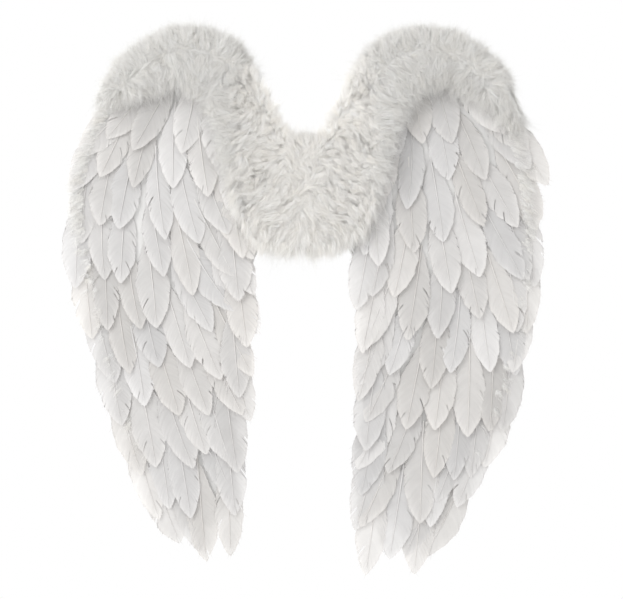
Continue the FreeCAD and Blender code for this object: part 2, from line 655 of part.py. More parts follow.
def save_wing(side):
    name = SIDE_NAMES[side]
    save(frame_wire(side), f"{name}_frame_wire")
    save(wing_board(side), f"{name}_wing_board")
    save(wing_lining(side), f"{name}_wing_lining")
    rows, stack = lay_feathers(side)
    for row, feathers in rows.items():
        save(Part.Compound([f.solid(side) for f in feathers]), f"{name}_feather_row_{row + 1:02d}")
    standoff = stack + FLUFF_OVER_FEATHERS
    route = fluff_cord_route(side, standoff)
    save(with_channel(wing_fluff(side, standoff), route), f"{name}_marabou")
    save(tube_along(route, FLUFF_CORD_D, f"{name} marabou cord"), f"{name}_marabou_cord")


os.makedirs("parts", exist_ok=True)
save_yoke()
for wing_side in SIDE_NAMES:
    save_wing(wing_side)
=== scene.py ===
"""Looks for the feathered wings: feathers, marabou fluff, cloth, elastic, light and camera.

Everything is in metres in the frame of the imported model: +Z up, feathers face -Y, the wearer is at +Y.
"""

import math

import bmesh
import bpy
import numpy as np
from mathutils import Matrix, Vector
from mathutils.bvhtree import BVHTree
from mathutils.geometry import delaunay_2d_cdt


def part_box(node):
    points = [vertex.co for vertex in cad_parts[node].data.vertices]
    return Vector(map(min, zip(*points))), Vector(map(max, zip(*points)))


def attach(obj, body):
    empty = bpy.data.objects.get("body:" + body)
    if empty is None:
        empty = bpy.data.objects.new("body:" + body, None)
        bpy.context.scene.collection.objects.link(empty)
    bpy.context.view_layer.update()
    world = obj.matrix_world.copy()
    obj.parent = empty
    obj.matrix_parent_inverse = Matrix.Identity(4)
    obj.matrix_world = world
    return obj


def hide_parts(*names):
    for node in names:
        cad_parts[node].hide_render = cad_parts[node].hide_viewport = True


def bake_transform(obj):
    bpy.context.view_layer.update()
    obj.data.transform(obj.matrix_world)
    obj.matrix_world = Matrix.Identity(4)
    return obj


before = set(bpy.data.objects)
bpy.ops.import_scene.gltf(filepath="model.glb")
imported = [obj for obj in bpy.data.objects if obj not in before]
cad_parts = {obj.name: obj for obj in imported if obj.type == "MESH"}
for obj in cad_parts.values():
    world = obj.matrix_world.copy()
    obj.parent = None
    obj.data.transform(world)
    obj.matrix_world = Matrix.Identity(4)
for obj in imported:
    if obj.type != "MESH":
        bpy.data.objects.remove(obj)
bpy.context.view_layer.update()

MM = 0.001
SIDES = {"left": -1, "right": 1}

WARM = (1.0, 0.985, 0.96)
FRONTWARD = np.array([0.0, -1.0, 0.0])
IN_XZ = np.array([1, 0, 1])

# View, light and floor
VIEW_WIDTH = 0.7476
VIEW_CENTRE = (0.009, -0.134)
VIEW_FRONT_Y = -0.02
LENS, SENSOR = 85.0, 36.0
LIGHT_TARGET = (0, 0, -0.13)
LIGHT_LOW = 0.67
LIGHT_HIGH = 1.50
KEY_FROM = (-0.68, -0.68, 0.27)
KEY_DISTANCE, KEY_SIZE, KEY_POWER = 1.9, 0.8, 9.2
FLOOR_Z = -0.72
FLOOR_SOLID, FLOOR_END = 0.35, 0.95

# Feathers
FEATHER_DARK, FEATHER_LIGHT = (0.56, 0.555, 0.555), (0.81, 0.80, 0.795)
BARBS = 96
BARB_STATIONS = 9
CAMBER = 1.7 * MM
SICKLE = 0.035
SURFACE_GAP = 0.35 * MM
SPLITS = 0.9
LOOSE_BARBS = 44
QUILL_STATIONS, QUILL_RING = 20, 6

# Marabou
FLUFF_DARK, FLUFF_LIGHT = (0.86, 0.86, 0.852), (0.97, 0.968, 0.962)
STRAND_STATIONS = 4
STRANDS_IN_BARB = 8
BARBS_IN_TUFT = 5
STRAND_WIDTH = 0.25 * MM
FRONT_LIMIT, BACK_LIMIT = -46.5 * MM, 15.0 * MM
TOP_LIMIT = 212.0 * MM
LIMIT_SOFTNESS = 5.0 * MM
CORE_INSET = 3.0 * MM
CORE_VOXEL = 4.0 * MM
MAP_CELLS = 8


# ---------------- meshes


def unit(v):
    return v / np.maximum(np.linalg.norm(v, axis=-1, keepdims=True), 1e-12)


def smoothstep(x, low, high):
    t = np.clip((x - low) / (high - low), 0, 1)
    return t * t * (3 - 2 * t)


def seed_of(name):
    return sum(ord(c) * (i + 7) for i, c in enumerate(name))


def wavy(t, rng, frequencies):
    """A smooth random curve of about -1 to 1 over t, made of a few waves."""
    total = np.zeros_like(t)
    for frequency in frequencies:
        total = total + np.sin(2 * np.pi * (t * frequency * rng.uniform(0.8, 1.2) + rng.random()))
    return total / len(frequencies)


def stacked(*columns):
    """Points, map places or faces from the arrays of their coordinates or corners."""
    return np.stack(np.broadcast_arrays(*columns), axis=-1).reshape(-1, len(columns))


class Batch:
    """Collects numpy grids with their own tone, warmth and map, and turns them into one mesh."""

    def __init__(self):
        self.parts, self.count = [], 0

    def add(self, verts, faces, tone, warm, uv):
        """tone and warm are one value each, or one for each point."""
        tone, warm = (np.broadcast_to(value, len(verts)) for value in (tone, warm))
        self.parts.append((verts, faces + self.count, tone, warm, uv))
        self.count += len(verts)

    def build(self, name, material):
        verts, faces, tone, warm, uv = (np.concatenate(column) for column in zip(*self.parts))
        obj = new_object(name, verts, faces, material, uv)
        for key, values in (("tone", tone), ("warm", warm)):
            obj.data.attributes.new(key, "FLOAT", "POINT").data.foreach_set(
                "value", np.clip(values, 0, 1).astype(np.float32))
        return obj


def placed(name, data):
    """A new object in the scene for a mesh, a light or a camera."""
    obj = bpy.data.objects.new(name, data)
    bpy.context.scene.collection.objects.link(obj)
    return obj


def new_object(name, verts, faces, material, uv=None, smooth=True):
    mesh = bpy.data.meshes.new(name)
    corners = faces.shape[1]
    mesh.vertices.add(len(verts))
    mesh.vertices.foreach_set("co", verts.astype(np.float32).ravel())
    mesh.loops.add(faces.size)
    mesh.loops.foreach_set("vertex_index", faces.astype(np.int32).ravel())
    mesh.polygons.add(len(faces))
    mesh.polygons.foreach_set("loop_start", np.arange(0, faces.size, corners, dtype=np.int32))
    mesh.update(calc_edges=True)
    mesh.polygons.foreach_set("use_smooth", np.full(len(faces), smooth))
    if uv is not None:
        corner_uv = uv[faces.ravel()].astype(np.float32)
        mesh.uv_layers.new(name="OFBake").data.foreach_set("uv", corner_uv.ravel())
    mesh.materials.append(material)
    return placed(name, mesh)


def tag(obj, body, node=None):
    """Says which body a piece rides on, and which CAD node it stands for."""
    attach(obj, body)
    if node:
        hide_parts(node)


def grid_faces(rows, columns, grids=1):
    """Quads of one or more grids of rows x columns points that follow each other."""
    start = (np.arange(rows - 1)[:, None] * columns + np.arange(columns - 1)[None, :]).ravel()
    one = stacked(start, start + columns, start + columns + 1, start + 1)
    return (one[None] + (np.arange(grids) * rows * columns)[:, None, None]).reshape(-1, 4)


def ring_faces(stations, ring):
    """Quads of a tube whose points follow each other ring by ring."""
    index = np.arange(stations * ring).reshape(stations, ring)
    ahead = np.roll(index, -1, axis=1)
    return stacked(index[:-1], index[1:], ahead[1:], ahead[:-1])


def tube(path, radii, ring):
    """Points and quads of a tube along a path, with one radius or one for each point."""
    tangent = unit(np.gradient(path, axis=0))
    side = unit(np.cross(tangent, np.array([0.0, 1.0, 0.0])))
    rise = np.cross(side, tangent)
    turn = np.linspace(0, 2 * np.pi, ring, endpoint=False)[None, :, None]
    radii = np.broadcast_to(radii, len(path))[:, None, None]
    verts = path[:, None] + radii * (np.cos(turn) * side[:, None] + np.sin(turn) * rise[:, None])
    return verts.reshape(-1, 3), ring_faces(len(path), ring)


def triples(collection, key, dtype=np.float64):
    """A property with three values of every item in one of a mesh's collections."""
    values = np.empty(len(collection) * 3, dtype=dtype)
    collection.foreach_get(key, values)
    return values.reshape(-1, 3)


def node_arrays(name):
    """Points and triangles of a CAD node."""
    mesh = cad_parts[name].data
    mesh.calc_loop_triangles()
    return triples(mesh.vertices, "co"), triples(mesh.loop_triangles, "vertices", np.int64)


def joined(verts):
    """The index of one point of each place, and for every point the number of its place."""
    _, first, same = np.unique(np.round(verts / 1e-6).astype(np.int64), axis=0, return_index=True,
                               return_inverse=True)
    return first, same.ravel()


def islands(node_name):
    """The points of each separate solid in a node."""
    verts, tris = node_arrays(node_name)
    first, same = joined(verts)
    label = np.arange(len(first))
    while True:
        low = label[same[tris]].min(axis=1)
        new = label.copy()
        for k in range(3):
            np.minimum.at(new, same[tris[:, k]], low)
        if (new == label).all():
            break
        label = new
    group = label[same]
    return [verts[group == g] for g in np.unique(group)]


# ---------------- materials


def principled(name, colour, roughness, sheen=0.0, specular=0.3, metallic=0.0):
    mat = bpy.data.materials.new(name)
    mat.use_nodes = True
    shader = mat.node_tree.nodes["Principled BSDF"]
    for key, value in (("Base Color", (*colour, 1)), ("Roughness", roughness), ("Metallic", metallic),
                       ("Sheen Weight", sheen), ("Sheen Roughness", 0.45), ("Specular IOR Level", specular)):
        shader.inputs[key].default_value = value
    return mat, mat.node_tree, shader


def made(tree, kind, **inputs):
    node = tree.nodes.new(kind)
    for key, value in inputs.items():
        node.inputs[key.replace("_", " ")].default_value = value
    return node


def object_coords(tree, scale=(1, 1, 1)):
    coords = tree.nodes.new("ShaderNodeTexCoord")
    mapping = tree.nodes.new("ShaderNodeMapping")
    mapping.inputs["Scale"].default_value = scale
    tree.links.new(coords.outputs["Object"], mapping.inputs["Vector"])
    return mapping.outputs["Vector"]


def noise(tree, scale, detail=3.0, stretch=(1, 1, 1)):
    node = made(tree, "ShaderNodeTexNoise", Scale=scale, Detail=detail, Roughness=0.55)
    tree.links.new(object_coords(tree, stretch), node.inputs["Vector"])
    return node.outputs["Fac"]


def waves(tree, scale, direction, distortion=0.6):
    """Fine ribs across a direction, a little uneven."""
    node = made(tree, "ShaderNodeTexWave", Scale=scale, Distortion=distortion, Detail=2.0)
    node.inputs["Detail Scale"].default_value = 1.5
    node.bands_direction = direction
    tree.links.new(object_coords(tree), node.inputs["Vector"])
    return node.outputs["Fac"]


def feed(tree, value, socket):
    """Gives a socket a plain value, or a link from another socket."""
    if isinstance(value, bpy.types.NodeSocket):
        tree.links.new(value, socket)
    else:
        socket.default_value = value


def ramp(tree, source, low, high, low_colour, high_colour):
    node = tree.nodes.new("ShaderNodeValToRGB")
    first, last = node.color_ramp.elements
    first.position, last.position = low, high
    first.color, last.color = (*low_colour, 1), (*high_colour, 1)
    tree.links.new(source, node.inputs["Fac"])
    return node.outputs["Color"]


def toned(tree, pattern, colour, darkest, low, high):
    """The colour, times darkest where the pattern is below low."""
    return ramp(tree, pattern, low, high, tuple(c * darkest for c in colour), colour)


def eased(tree, source, low, high, at_low=0.0, at_high=1.0):
    """A value that goes smoothly from at_low to at_high while the source goes from low to high."""
    node = made(tree, "ShaderNodeMapRange", From_Min=low, From_Max=high, To_Min=at_low, To_Max=at_high)
    node.interpolation_type = "SMOOTHSTEP"
    tree.links.new(source, node.inputs["Value"])
    return node.outputs["Result"]


def mixed(tree, a, b, factor=1.0, blend="MULTIPLY"):
    node = tree.nodes.new("ShaderNodeMix")
    node.data_type, node.blend_type = "RGBA", blend
    for key, value in (("Factor", factor), ("A", a), ("B", b)):
        feed(tree, value, next(s for s in node.inputs if s.name == key and s.enabled))
    return next(s for s in node.outputs if s.enabled)


def show_both(tree, first, second, share):
    """Puts a mix of two shaders on the output. share, of the second, is a value or a socket."""
    both = tree.nodes.new("ShaderNodeMixShader")
    feed(tree, share, both.inputs["Fac"])
    tree.links.new(first.outputs["BSDF"], both.inputs[1])
    tree.links.new(second.outputs["BSDF"], both.inputs[2])
    tree.links.new(both.outputs["Shader"], tree.nodes["Material Output"].inputs["Surface"])


def bump(tree, shader, height, distance):
    node = made(tree, "ShaderNodeBump", Strength=1.0, Distance=distance)
    tree.links.new(height, node.inputs["Height"])
    tree.links.new(node.outputs["Normal"], shader.inputs["Normal"])


def attribute(tree, name):
    node = tree.nodes.new("ShaderNodeAttribute")
    node.attribute_name = name
    return node.outputs["Fac"]


def soft_material(name, dark, light, patch_scale, roughness, sheen, through):
    """Barbs and strands: tone and warmth come from the mesh, and some light passes through."""
    mat, tree, shader = principled(name, light, roughness, sheen=sheen, specular=0.25)
    by_tone = ramp(tree, attribute(tree, "tone"), 0.0, 1.0, dark, light)
    tinted = mixed(tree, by_tone, mixed(tree, (1, 1, 1, 1), (*WARM, 1), attribute(tree, "warm"), "MIX"))
    patch = ramp(tree, noise(tree, patch_scale), 0.35, 0.7, (0.955, 0.953, 0.95), (1, 1, 1))
    colour = mixed(tree, tinted, patch)
    tree.links.new(colour, shader.inputs["Base Color"])
    glow = tree.nodes.new("ShaderNodeBsdfTranslucent")
    tree.links.new(colour, glow.inputs["Color"])
    show_both(tree, shader, glow, through)
    return mat


def woven_material(name, colour, thread, depth=0.08 * MM, stain=0.05):
    """Plain-weave cloth: threads both ways, with faint unevenness."""
    mat, tree, shader = principled(name, colour, 0.8, sheen=0.2, specular=0.2)
    weave = mixed(tree, waves(tree, thread, "X"), waves(tree, thread, "Z"), 0.5, "MIX")
    shade = toned(tree, weave, colour, 0.86, 0.25, 0.75)
    uneven = toned(tree, noise(tree, 30.0), (1, 1, 1), 1 - stain, 0.3, 0.75)
    tree.links.new(mixed(tree, shade, uneven), shader.inputs["Base Color"])
    bump(tree, shader, weave, depth)
    return mat


def fibre_material(name, colour, scale, roughness, depth, sheen=0.0):
    """Card or felt: matted fibres with no weave."""
    mat, tree, shader = principled(name, colour, roughness, sheen=sheen, specular=0.2)
    fibres = noise(tree, scale, 6.0, (1, 1, 0.35))
    blotch = noise(tree, scale * 0.06, 3.0)
    shade = toned(tree, fibres, colour, 0.94, 0.3, 0.7)
    patch = toned(tree, blotch, (1, 1, 1), 0.94, 0.35, 0.7)
    tree.links.new(mixed(tree, shade, patch), shader.inputs["Base Color"])
    bump(tree, shader, fibres, depth)
    return mat


def ribbed_material(name, colour, rib):
    """Knitted elastic or thread: fine ribs, crossed by finer strands."""
    mat, tree, shader = principled(name, colour, 0.6, sheen=0.15, specular=0.35)
    ribs = waves(tree, rib, "Y", 0.1)
    knit = noise(tree, 900.0, 2.0)
    shade = toned(tree, mixed(tree, ribs, knit, 0.35, "MIX"), colour, 0.82, 0.2, 0.8)
    tree.links.new(shade, shader.inputs["Base Color"])
    bump(tree, shader, ribs, 0.15 * MM)
    return mat


def steel_material():
    mat, tree, shader = principled("frame_steel_look", (0.62, 0.62, 0.60), 0.35, metallic=1.0)
    grain = noise(tree, 260.0, 5.0, (1, 1, 0.1))
    tree.links.new(ramp(tree, grain, 0.3, 0.75, (0.46, 0.455, 0.44), (0.70, 0.70, 0.69)),
                   shader.inputs["Base Color"])
    rough = made(tree, "ShaderNodeMapRange", To_Min=0.28, To_Max=0.5)
    tree.links.new(grain, rough.inputs["Value"])
    tree.links.new(rough.outputs["Result"], shader.inputs["Roughness"])
    return mat


def dress_cad(looks):
    """Gives each CAD node that still shows its material. looks is (part of the name, material, slot)."""
    for name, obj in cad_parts.items():
        for key, mat, slot in looks:
            if key in name and not obj.hide_render:
                obj.data.materials.clear()
                obj.data.materials.append(mat)
                break


# ---------------- feathers


def covert_half_width(share):
    """Half the width of a covert at a share of its length, as a share of its full width."""
    return 0.5 * np.sin(np.pi * np.clip(share, 0.0, 1.0) ** 1.30) ** 0.76


def feather_frames(row_name, side):
    """Base, axes, length and width of each flat feather in a CAD row, from its own points."""
    frames = []
    for points in islands(row_name):
        middle = points.mean(axis=0)
        flat = points - middle
        fit, *_ = np.linalg.lstsq(np.c_[flat[:, 0], flat[:, 2]], flat[:, 1], rcond=None)
        normal = unit(np.array([fit[0], -1.0, fit[1]]))
        in_plane = flat - np.outer(flat @ normal, normal)
        along = np.linalg.svd(in_plane, full_matrices=False)[2][0]
        if along[2] > 0:
            along = -along
        inner = unit(np.cross(normal, along))
        if inner[0] * side > 0:
            inner = -inner
        reach, spread = in_plane @ along, in_plane @ inner
        centre = 0.5 * (spread.min() + spread.max())
        frames.append({"base": middle + along * reach.min() + inner * centre, "along": along,
                       "inner": inner, "normal": normal, "length": np.ptp(reach) / 0.985,
                       "width": np.ptp(spread)})
    return frames


def vane_half(batch, place, spot, side, rng, look, cell):
    """One half of a vane: a sheet of barbs that holds together apart from a few splits."""
    length, width = spot["length"], spot["width"]
    s = np.linspace(0, 1, BARBS)
    root = (0.05 + 0.85 * s) * length
    end = root / length + 0.10 + 0.30 * s * (1 - s)
    out = covert_half_width(end) * width * (1 + 0.05 * wavy(s, rng, (2.0, 4.5)))
    out = out * (1 + rng.normal(0, 0.012, BARBS)) + 0.3 * MM * rng.random(BARBS)
    end = end * length
    cut = np.full(BARBS, BARB_STATIONS)
    for _ in range(rng.poisson(SPLITS)):
        at = int(rng.uniform(0.35, 0.97) * BARBS)
        gap = rng.uniform(0.3, 1.3) * MM
        behind = np.arange(BARBS) <= at
        reach = np.exp(-np.abs(np.arange(BARBS) - at) / rng.uniform(3, 9))
        end = end + np.where(behind, -1, 1) * gap * reach
        out = out * (1 - 0.05 * reach)
        cut[min(at, BARBS - 1)] = rng.integers(3, 7)
    t = np.linspace(0, 1, BARB_STATIONS)[None, :]
    a = root[:, None] + (end - root)[:, None] * t ** 1.25
    b = out[:, None] * (1 - (1 - t) ** 1.3)
    ridge = 0.30 * MM * wavy(s, rng, (5.0, 11.0, 17.0)) + rng.normal(0, 0.045 * MM, BARBS)
    n = ridge[:, None] * t * (1.2 - 0.5 * t)
    verts = place(a, side * b, n)
    faces = grid_faces(BARBS, BARB_STATIONS).reshape(BARBS - 1, BARB_STATIONS - 1, 4)
    keep = np.arange(BARB_STATIONS - 1)[None, :] < cut[:-1, None]
    clump = 0.05 * wavy(s, rng, (4.0, 9.0)) + rng.normal(0, 0.02, BARBS)
    # edge is a painted highlight: the tone rises towards the barb ends in the outer part of the feather, in
    # place of light caught by thin edges
    edge = 0.45 * t ** 4 * smoothstep(s, 0.25, 0.7)[:, None]
    tone = look["tone"] + clump[:, None] + edge
    batch.add(verts.reshape(-1, 3), faces[keep], tone.ravel(), look["warm"], cell(a, side * b))
    loose_barbs(batch, place, a, b, n, side, rng, look, cell)


def loose_barbs(batch, place, a, b, n, side, rng, look, cell):
    """Free barb ends that stand out a little past the vane's edge."""
    pick = np.sort(rng.choice(np.arange(BARBS // 4, BARBS), size=LOOSE_BARBS, replace=False))
    start_a, start_b, start_n = a[pick, -2], b[pick, -2], n[pick, -1]
    da, db = a[pick, -1] - a[pick, -3], b[pick, -1] - b[pick, -3]
    size = np.hypot(da, db)
    turn = rng.normal(0.1, 0.22, len(pick))
    da, db = (da * np.cos(turn) - db * np.sin(turn)) / size, (da * np.sin(turn) + db * np.cos(turn)) / size
    far = rng.gamma(2.2, 1.1, len(pick))[:, None] * MM + 1.2 * MM
    t = np.linspace(0, 1, 4)[None, :]
    path_a = start_a[:, None] + da[:, None] * far * t
    path_b = start_b[:, None] + db[:, None] * far * t
    path_n = start_n[:, None] + rng.normal(0.1, 0.35, len(pick))[:, None] * far * t ** 2
    half = 0.32 * MM * (1.05 - t)
    left = place(path_a - db[:, None] * half, side * (path_b + da[:, None] * half), path_n)
    right = place(path_a + db[:, None] * half, side * (path_b - da[:, None] * half), path_n)
    verts = np.stack([left, right], axis=2).reshape(-1, 3)
    uv = cell(np.repeat(path_a.ravel(), 2), np.repeat(side * path_b.ravel(), 2))
    # The loose ends carry a painted highlight: their tone is raised by 0.15, like the vane's barb ends
    batch.add(verts, grid_faces(4, 2, len(pick)), look["tone"] + 0.15, look["warm"], uv)


def quill(batch, place, spot, look, cell):
    """The shaft, a tapered bead down the middle of the vane."""
    t = np.linspace(0, 1, QUILL_STATIONS)[:, None]
    turn = np.linspace(0, 2 * np.pi, QUILL_RING, endpoint=False)[None, :]
    radius = (0.95 - 0.60 * t) * MM
    a = 0.92 * spot["length"] * t + 0 * turn
    b = radius * np.cos(turn)
    verts = place(a, b, radius * (np.sin(turn) * 0.8 + 0.95)).reshape(-1, 3)
    faces = ring_faces(QUILL_STATIONS, QUILL_RING)[:, [0, 3, 2, 1]]
    batch.add(verts, faces, look["tone"] + 0.5, look["warm"], cell(a, b))


def add_feather(batch, spot, rng, corner, across_cells):
    spot["width"] *= rng.uniform(0.80, 1.0)
    length, width = spot["length"], spot["width"]
    look = {"tone": float(np.clip(rng.normal(0.50, 0.15), 0.1, 0.85)), "warm": rng.random() ** 1.3}
    camber = CAMBER * rng.uniform(0.5, 1.35)
    curl = rng.uniform(-0.4, 3.4) * MM
    twist = rng.normal(0, 0.05)
    bend = float(np.clip(SICKLE + rng.normal(0, 0.045), -0.04, 0.12))

    def place(a, b, n):
        """Local (along, towards the wing's root, off the surface) to the frame, with the feather's curve."""
        share = np.clip(a / length, 0, 1.05)
        free = smoothstep(share, 0.38, 0.78)
        edge = np.clip(b / (0.5 * width), -1.1, 1.1)
        over = np.clip(np.abs(edge), 0, 1)
        dome = np.where(edge < 0, 1 - over ** 3.5, (1 - over) ** 0.9)
        off = n + SURFACE_GAP + camber * free * dome + twist * b * free
        off = off + curl * np.clip((share - 0.62) / 0.38, 0, 1.1) ** 2
        sideways = b + bend * length * share ** 2
        return (spot["base"] + a[..., None] * spot["along"] + sideways[..., None] * spot["inner"]
                + off[..., None] * spot["normal"])

    def cell(a, b):
        """The feather's own square in the map."""
        u = corner[0] + (0.5 + 0.44 * b / (0.5 * width) * 0.9) / across_cells
        v = corner[1] + (0.04 + 0.90 * np.clip(a / length, 0, 1.05)) / across_cells
        return stacked(u, v)

    for side in (-1, 1):
        vane_half(batch, place, spot, side, rng, look, cell)
    quill(batch, place, spot, look, cell)


def feather_rows(material):
    for side_name, side in SIDES.items():
        for row_name in sorted(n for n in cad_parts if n.startswith(f"{side_name}_feather_row")):
            rng = np.random.default_rng(seed_of(row_name))
            batch = Batch()
            spots = feather_frames(row_name, side)
            cells = math.ceil(math.sqrt(len(spots)))
            for k, spot in enumerate(spots):
                add_feather(batch, spot, rng, ((k % cells) / cells, (k // cells) / cells), cells)
            tag(batch.build(row_name + "_vanes", material), f"{side_name}_wing", row_name)


# ---------------- marabou fluff


def soft_core(node_name, bumps):
    """A lumpy closed form just inside a CAD fluff solid. Returns its points, triangles and normals."""
    probe = placed(node_name + "_probe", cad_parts[node_name].data.copy())
    remesh = probe.modifiers.new("remesh", "REMESH")
    remesh.mode, remesh.voxel_size = "VOXEL", CORE_VOXEL
    smooth = probe.modifiers.new("smooth", "SMOOTH")
    smooth.factor, smooth.iterations = 0.5, 8
    depsgraph = bpy.context.evaluated_depsgraph_get()
    mesh = bpy.data.meshes.new_from_object(probe.evaluated_get(depsgraph))
    bpy.data.objects.remove(probe)
    verts, normals = triples(mesh.vertices, "co"), triples(mesh.vertices, "normal")
    verts = verts + normals * (-CORE_INSET + bumps * lump_field(verts * 1000))[:, None]
    mesh.vertices.foreach_set("co", verts.ravel())
    mesh.update()
    mesh.calc_loop_triangles()
    return verts, triples(mesh.loop_triangles, "vertices", np.int64), normals


def lump_field(p):
    """Smooth lumps between about -1 and 1 at points in millimetres."""
    x, y, z = p[:, 0], p[:, 1], p[:, 2]
    return (np.sin(x * 0.31 + 1.7 * np.sin(z * 0.11)) * np.sin(z * 0.27 + 1.3 * np.sin(x * 0.13 + y * 0.2))
            + 0.5 * np.sin(x * 0.71 + z * 0.53 + y * 0.4) * np.sin(z * 0.83 - x * 0.37)) / 1.5


def flow_field(p, seed):
    """A smooth field of directions in x and z that swirls over a few centimetres."""
    x, z = p[:, 0] * 1000, p[:, 2] * 1000
    return stacked(np.sin(x * 0.05 + z * 0.09 + seed) + 0.6 * np.sin(z * 0.19 - x * 0.13 + 2 * seed), 0.0,
                   np.sin(z * 0.06 - x * 0.10 + 5 * seed) + 0.6 * np.sin(x * 0.21 + z * 0.15 + seed))


def sample_surface(verts, tris, normals, count, rng, weight):
    """Random points on a surface, with normals, as dense as weight(points, normals) says."""
    corner = verts[tris]
    area = np.linalg.norm(np.cross(corner[:, 1] - corner[:, 0], corner[:, 2] - corner[:, 0]), axis=1)
    centre, facing = corner.mean(axis=1), unit(normals[tris].mean(axis=1))
    area = area * weight(centre, facing)
    pick = rng.choice(len(tris), size=count, p=area / area.sum())
    r1, r2 = rng.random(count), rng.random(count)
    flip = r1 + r2 > 1
    r1[flip], r2[flip] = 1 - r1[flip], 1 - r2[flip]
    chosen = corner[pick]
    points = (chosen[:, 0] + r1[:, None] * (chosen[:, 1] - chosen[:, 0])
              + r2[:, None] * (chosen[:, 2] - chosen[:, 0]))
    return points, facing[pick]


def tone_cells(tone, t):
    """A map where every strand of one tone shares one square of the picture."""
    level = np.clip((tone * MAP_CELLS ** 2).astype(int), 0, MAP_CELLS ** 2 - 1)[:, None, None]
    across = np.array([0.15, 0.85])[None, None, :]
    return stacked((level % MAP_CELLS + across) / MAP_CELLS,
                   (level // MAP_CELLS + 0.15 + 0.7 * t) / MAP_CELLS)


def held_below(x, limit):
    """x, bent over smoothly so that it never passes the limit."""
    start = limit - LIMIT_SOFTNESS
    past = np.maximum(x - start, 0)
    return np.minimum(x, start) + LIMIT_SOFTNESS * (1 - np.exp(-past / LIMIT_SOFTNESS))


def plumes(name, material, points, aim, facing, lengths, rng, pull, tone, warm=0.5, fan=0.38):
    """A piece of marabou plumes. Each is a fan of barbs, and each barb a wisp of fine strands that draws to
    a tip. The strands' flat sides look along facing, away from the fluff, so that they shade as one surface.
    """
    tufts = len(points)
    facing, pull = np.broadcast_to(facing, points.shape), np.broadcast_to(pull, points.shape)
    count = tufts * BARBS_IN_TUFT
    spin = unit(np.cross(aim, rng.normal(0, 1, (tufts, 3))))
    lean = np.linspace(-1, 1, BARBS_IN_TUFT)[None, :] * fan * rng.uniform(0.6, 1.2, (tufts, 1))
    heading = unit(aim[:, None] + spin[:, None] * lean[..., None]
                   + rng.normal(0, 0.13, (tufts, BARBS_IN_TUFT, 3))).reshape(count, 3)
    reach = (lengths[:, None] * (1 - 0.35 * np.abs(lean)) * rng.uniform(0.7, 1.12, lean.shape)).ravel()
    start = (points[:, None] + rng.normal(0, 1.0 * MM, (tufts, BARBS_IN_TUFT, 3))).reshape(count, 3)
    bow = rng.normal(0, 0.12, (count, 3)) + np.repeat(pull, BARBS_IN_TUFT, axis=0)
    t = np.linspace(0, 1, STRAND_STATIONS)[None, :, None]
    spine = start[:, None] + reach[:, None, None] * (heading[:, None] * t + 0.5 * bow[:, None] * t ** 2)
    spine = np.repeat(spine, STRANDS_IN_BARB, axis=0)
    own = rng.normal(0, 1, (len(spine), 1, 3))
    spread = 1.30 * MM * np.sin(np.pi * (0.15 + 0.70 * t))
    share = rng.uniform(0.45, 1.0, (len(spine), 1, 1))
    first = spine[:, :1]
    path = first + (spine - first) * share + own * spread
    phase = rng.uniform(0, 6.28, (len(spine), 1, 3))
    path = path + np.sin(t * rng.uniform(4, 8, (len(spine), 1, 1)) + phase) * 0.30 * MM * t
    path[..., 1] = held_below(-held_below(-path[..., 1], -FRONT_LIMIT), BACK_LIMIT)
    path[..., 2] = held_below(path[..., 2], TOP_LIMIT)
    tangent = unit(np.gradient(path, axis=1))
    outwards = np.repeat(facing, BARBS_IN_TUFT * STRANDS_IN_BARB, axis=0)[:, None]
    across = unit(np.cross(tangent, outwards + rng.normal(0, 0.30, (len(spine), 1, 3))))
    half = 0.5 * STRAND_WIDTH * (1.12 - t)
    verts = np.stack([path + across * half, path - across * half], axis=2)
    tuft_tone = np.repeat(rng.normal(tone, 0.10, tufts), BARBS_IN_TUFT * STRANDS_IN_BARB)
    tones = np.clip(tuft_tone + rng.normal(0, 0.08, len(spine)), 0, 1)
    warms = np.repeat(np.clip(rng.normal(warm, 0.25, tufts), 0, 1), BARBS_IN_TUFT * STRANDS_IN_BARB)
    each = STRAND_STATIONS * 2
    batch = Batch()
    batch.add(verts.reshape(-1, 3), grid_faces(STRAND_STATIONS, 2, len(spine)), np.repeat(tones, each),
              np.repeat(warms, each), tone_cells(tones, t))
    return batch.build(name, material)


def away_from(points, cord_points):
    """Directions from the nearest point of a cord to each point, as marabou stands off its cord."""
    gap = points[:, None, :] - cord_points[None, :, :]
    nearest = np.argmin((gap ** 2).sum(axis=2), axis=1)
    return gap[np.arange(len(points)), nearest]


def fluff_on(node_name, comb, body, material, tufts, length, parts, weight, warm, tone):
    """Replaces one CAD fluff solid with a lumpy core and plumes, combed the way comb(points) runs."""
    rng = np.random.default_rng(seed_of(node_name))
    verts, tris, normals = soft_core(node_name, 1.2 * MM)
    core = Batch()
    core_map = tone_cells(np.full(len(verts) // 2 + 1, 0.5), np.zeros((1, 1, 1)))
    core.add(verts, tris, 0.5, warm, core_map[:len(verts)])
    pieces = [core.build(node_name + "_core", material)]
    for part in range(parts):
        points, facing = sample_surface(verts, tris, normals, tufts // parts, rng, weight)
        flat = unit(comb(points) + 0.34 * flow_field(points, 1))
        aim = unit(0.30 * facing + flat + rng.normal(0, 0.13, points.shape))
        edge = 1 - np.clip(-facing[:, 1], 0, 1)
        hem = smoothstep(-facing[:, 2], 0.25, 0.8)
        lengths = length * (1.0 + 0.12 * edge + hem * rng.uniform(0.0, 0.9, len(points)))
        lengths = lengths * rng.uniform(0.7, 1.2, len(points))
        pull = -0.35 * facing + np.array([0, 0, -0.12]) + rng.normal(0, 0.15, points.shape)
        pieces.append(plumes(f"{node_name}_plumes_{part + 1}", material, points, aim, facing, lengths, rng,
                             pull, tone, warm))
    for piece in pieces:
        tag(piece, body, node_name)


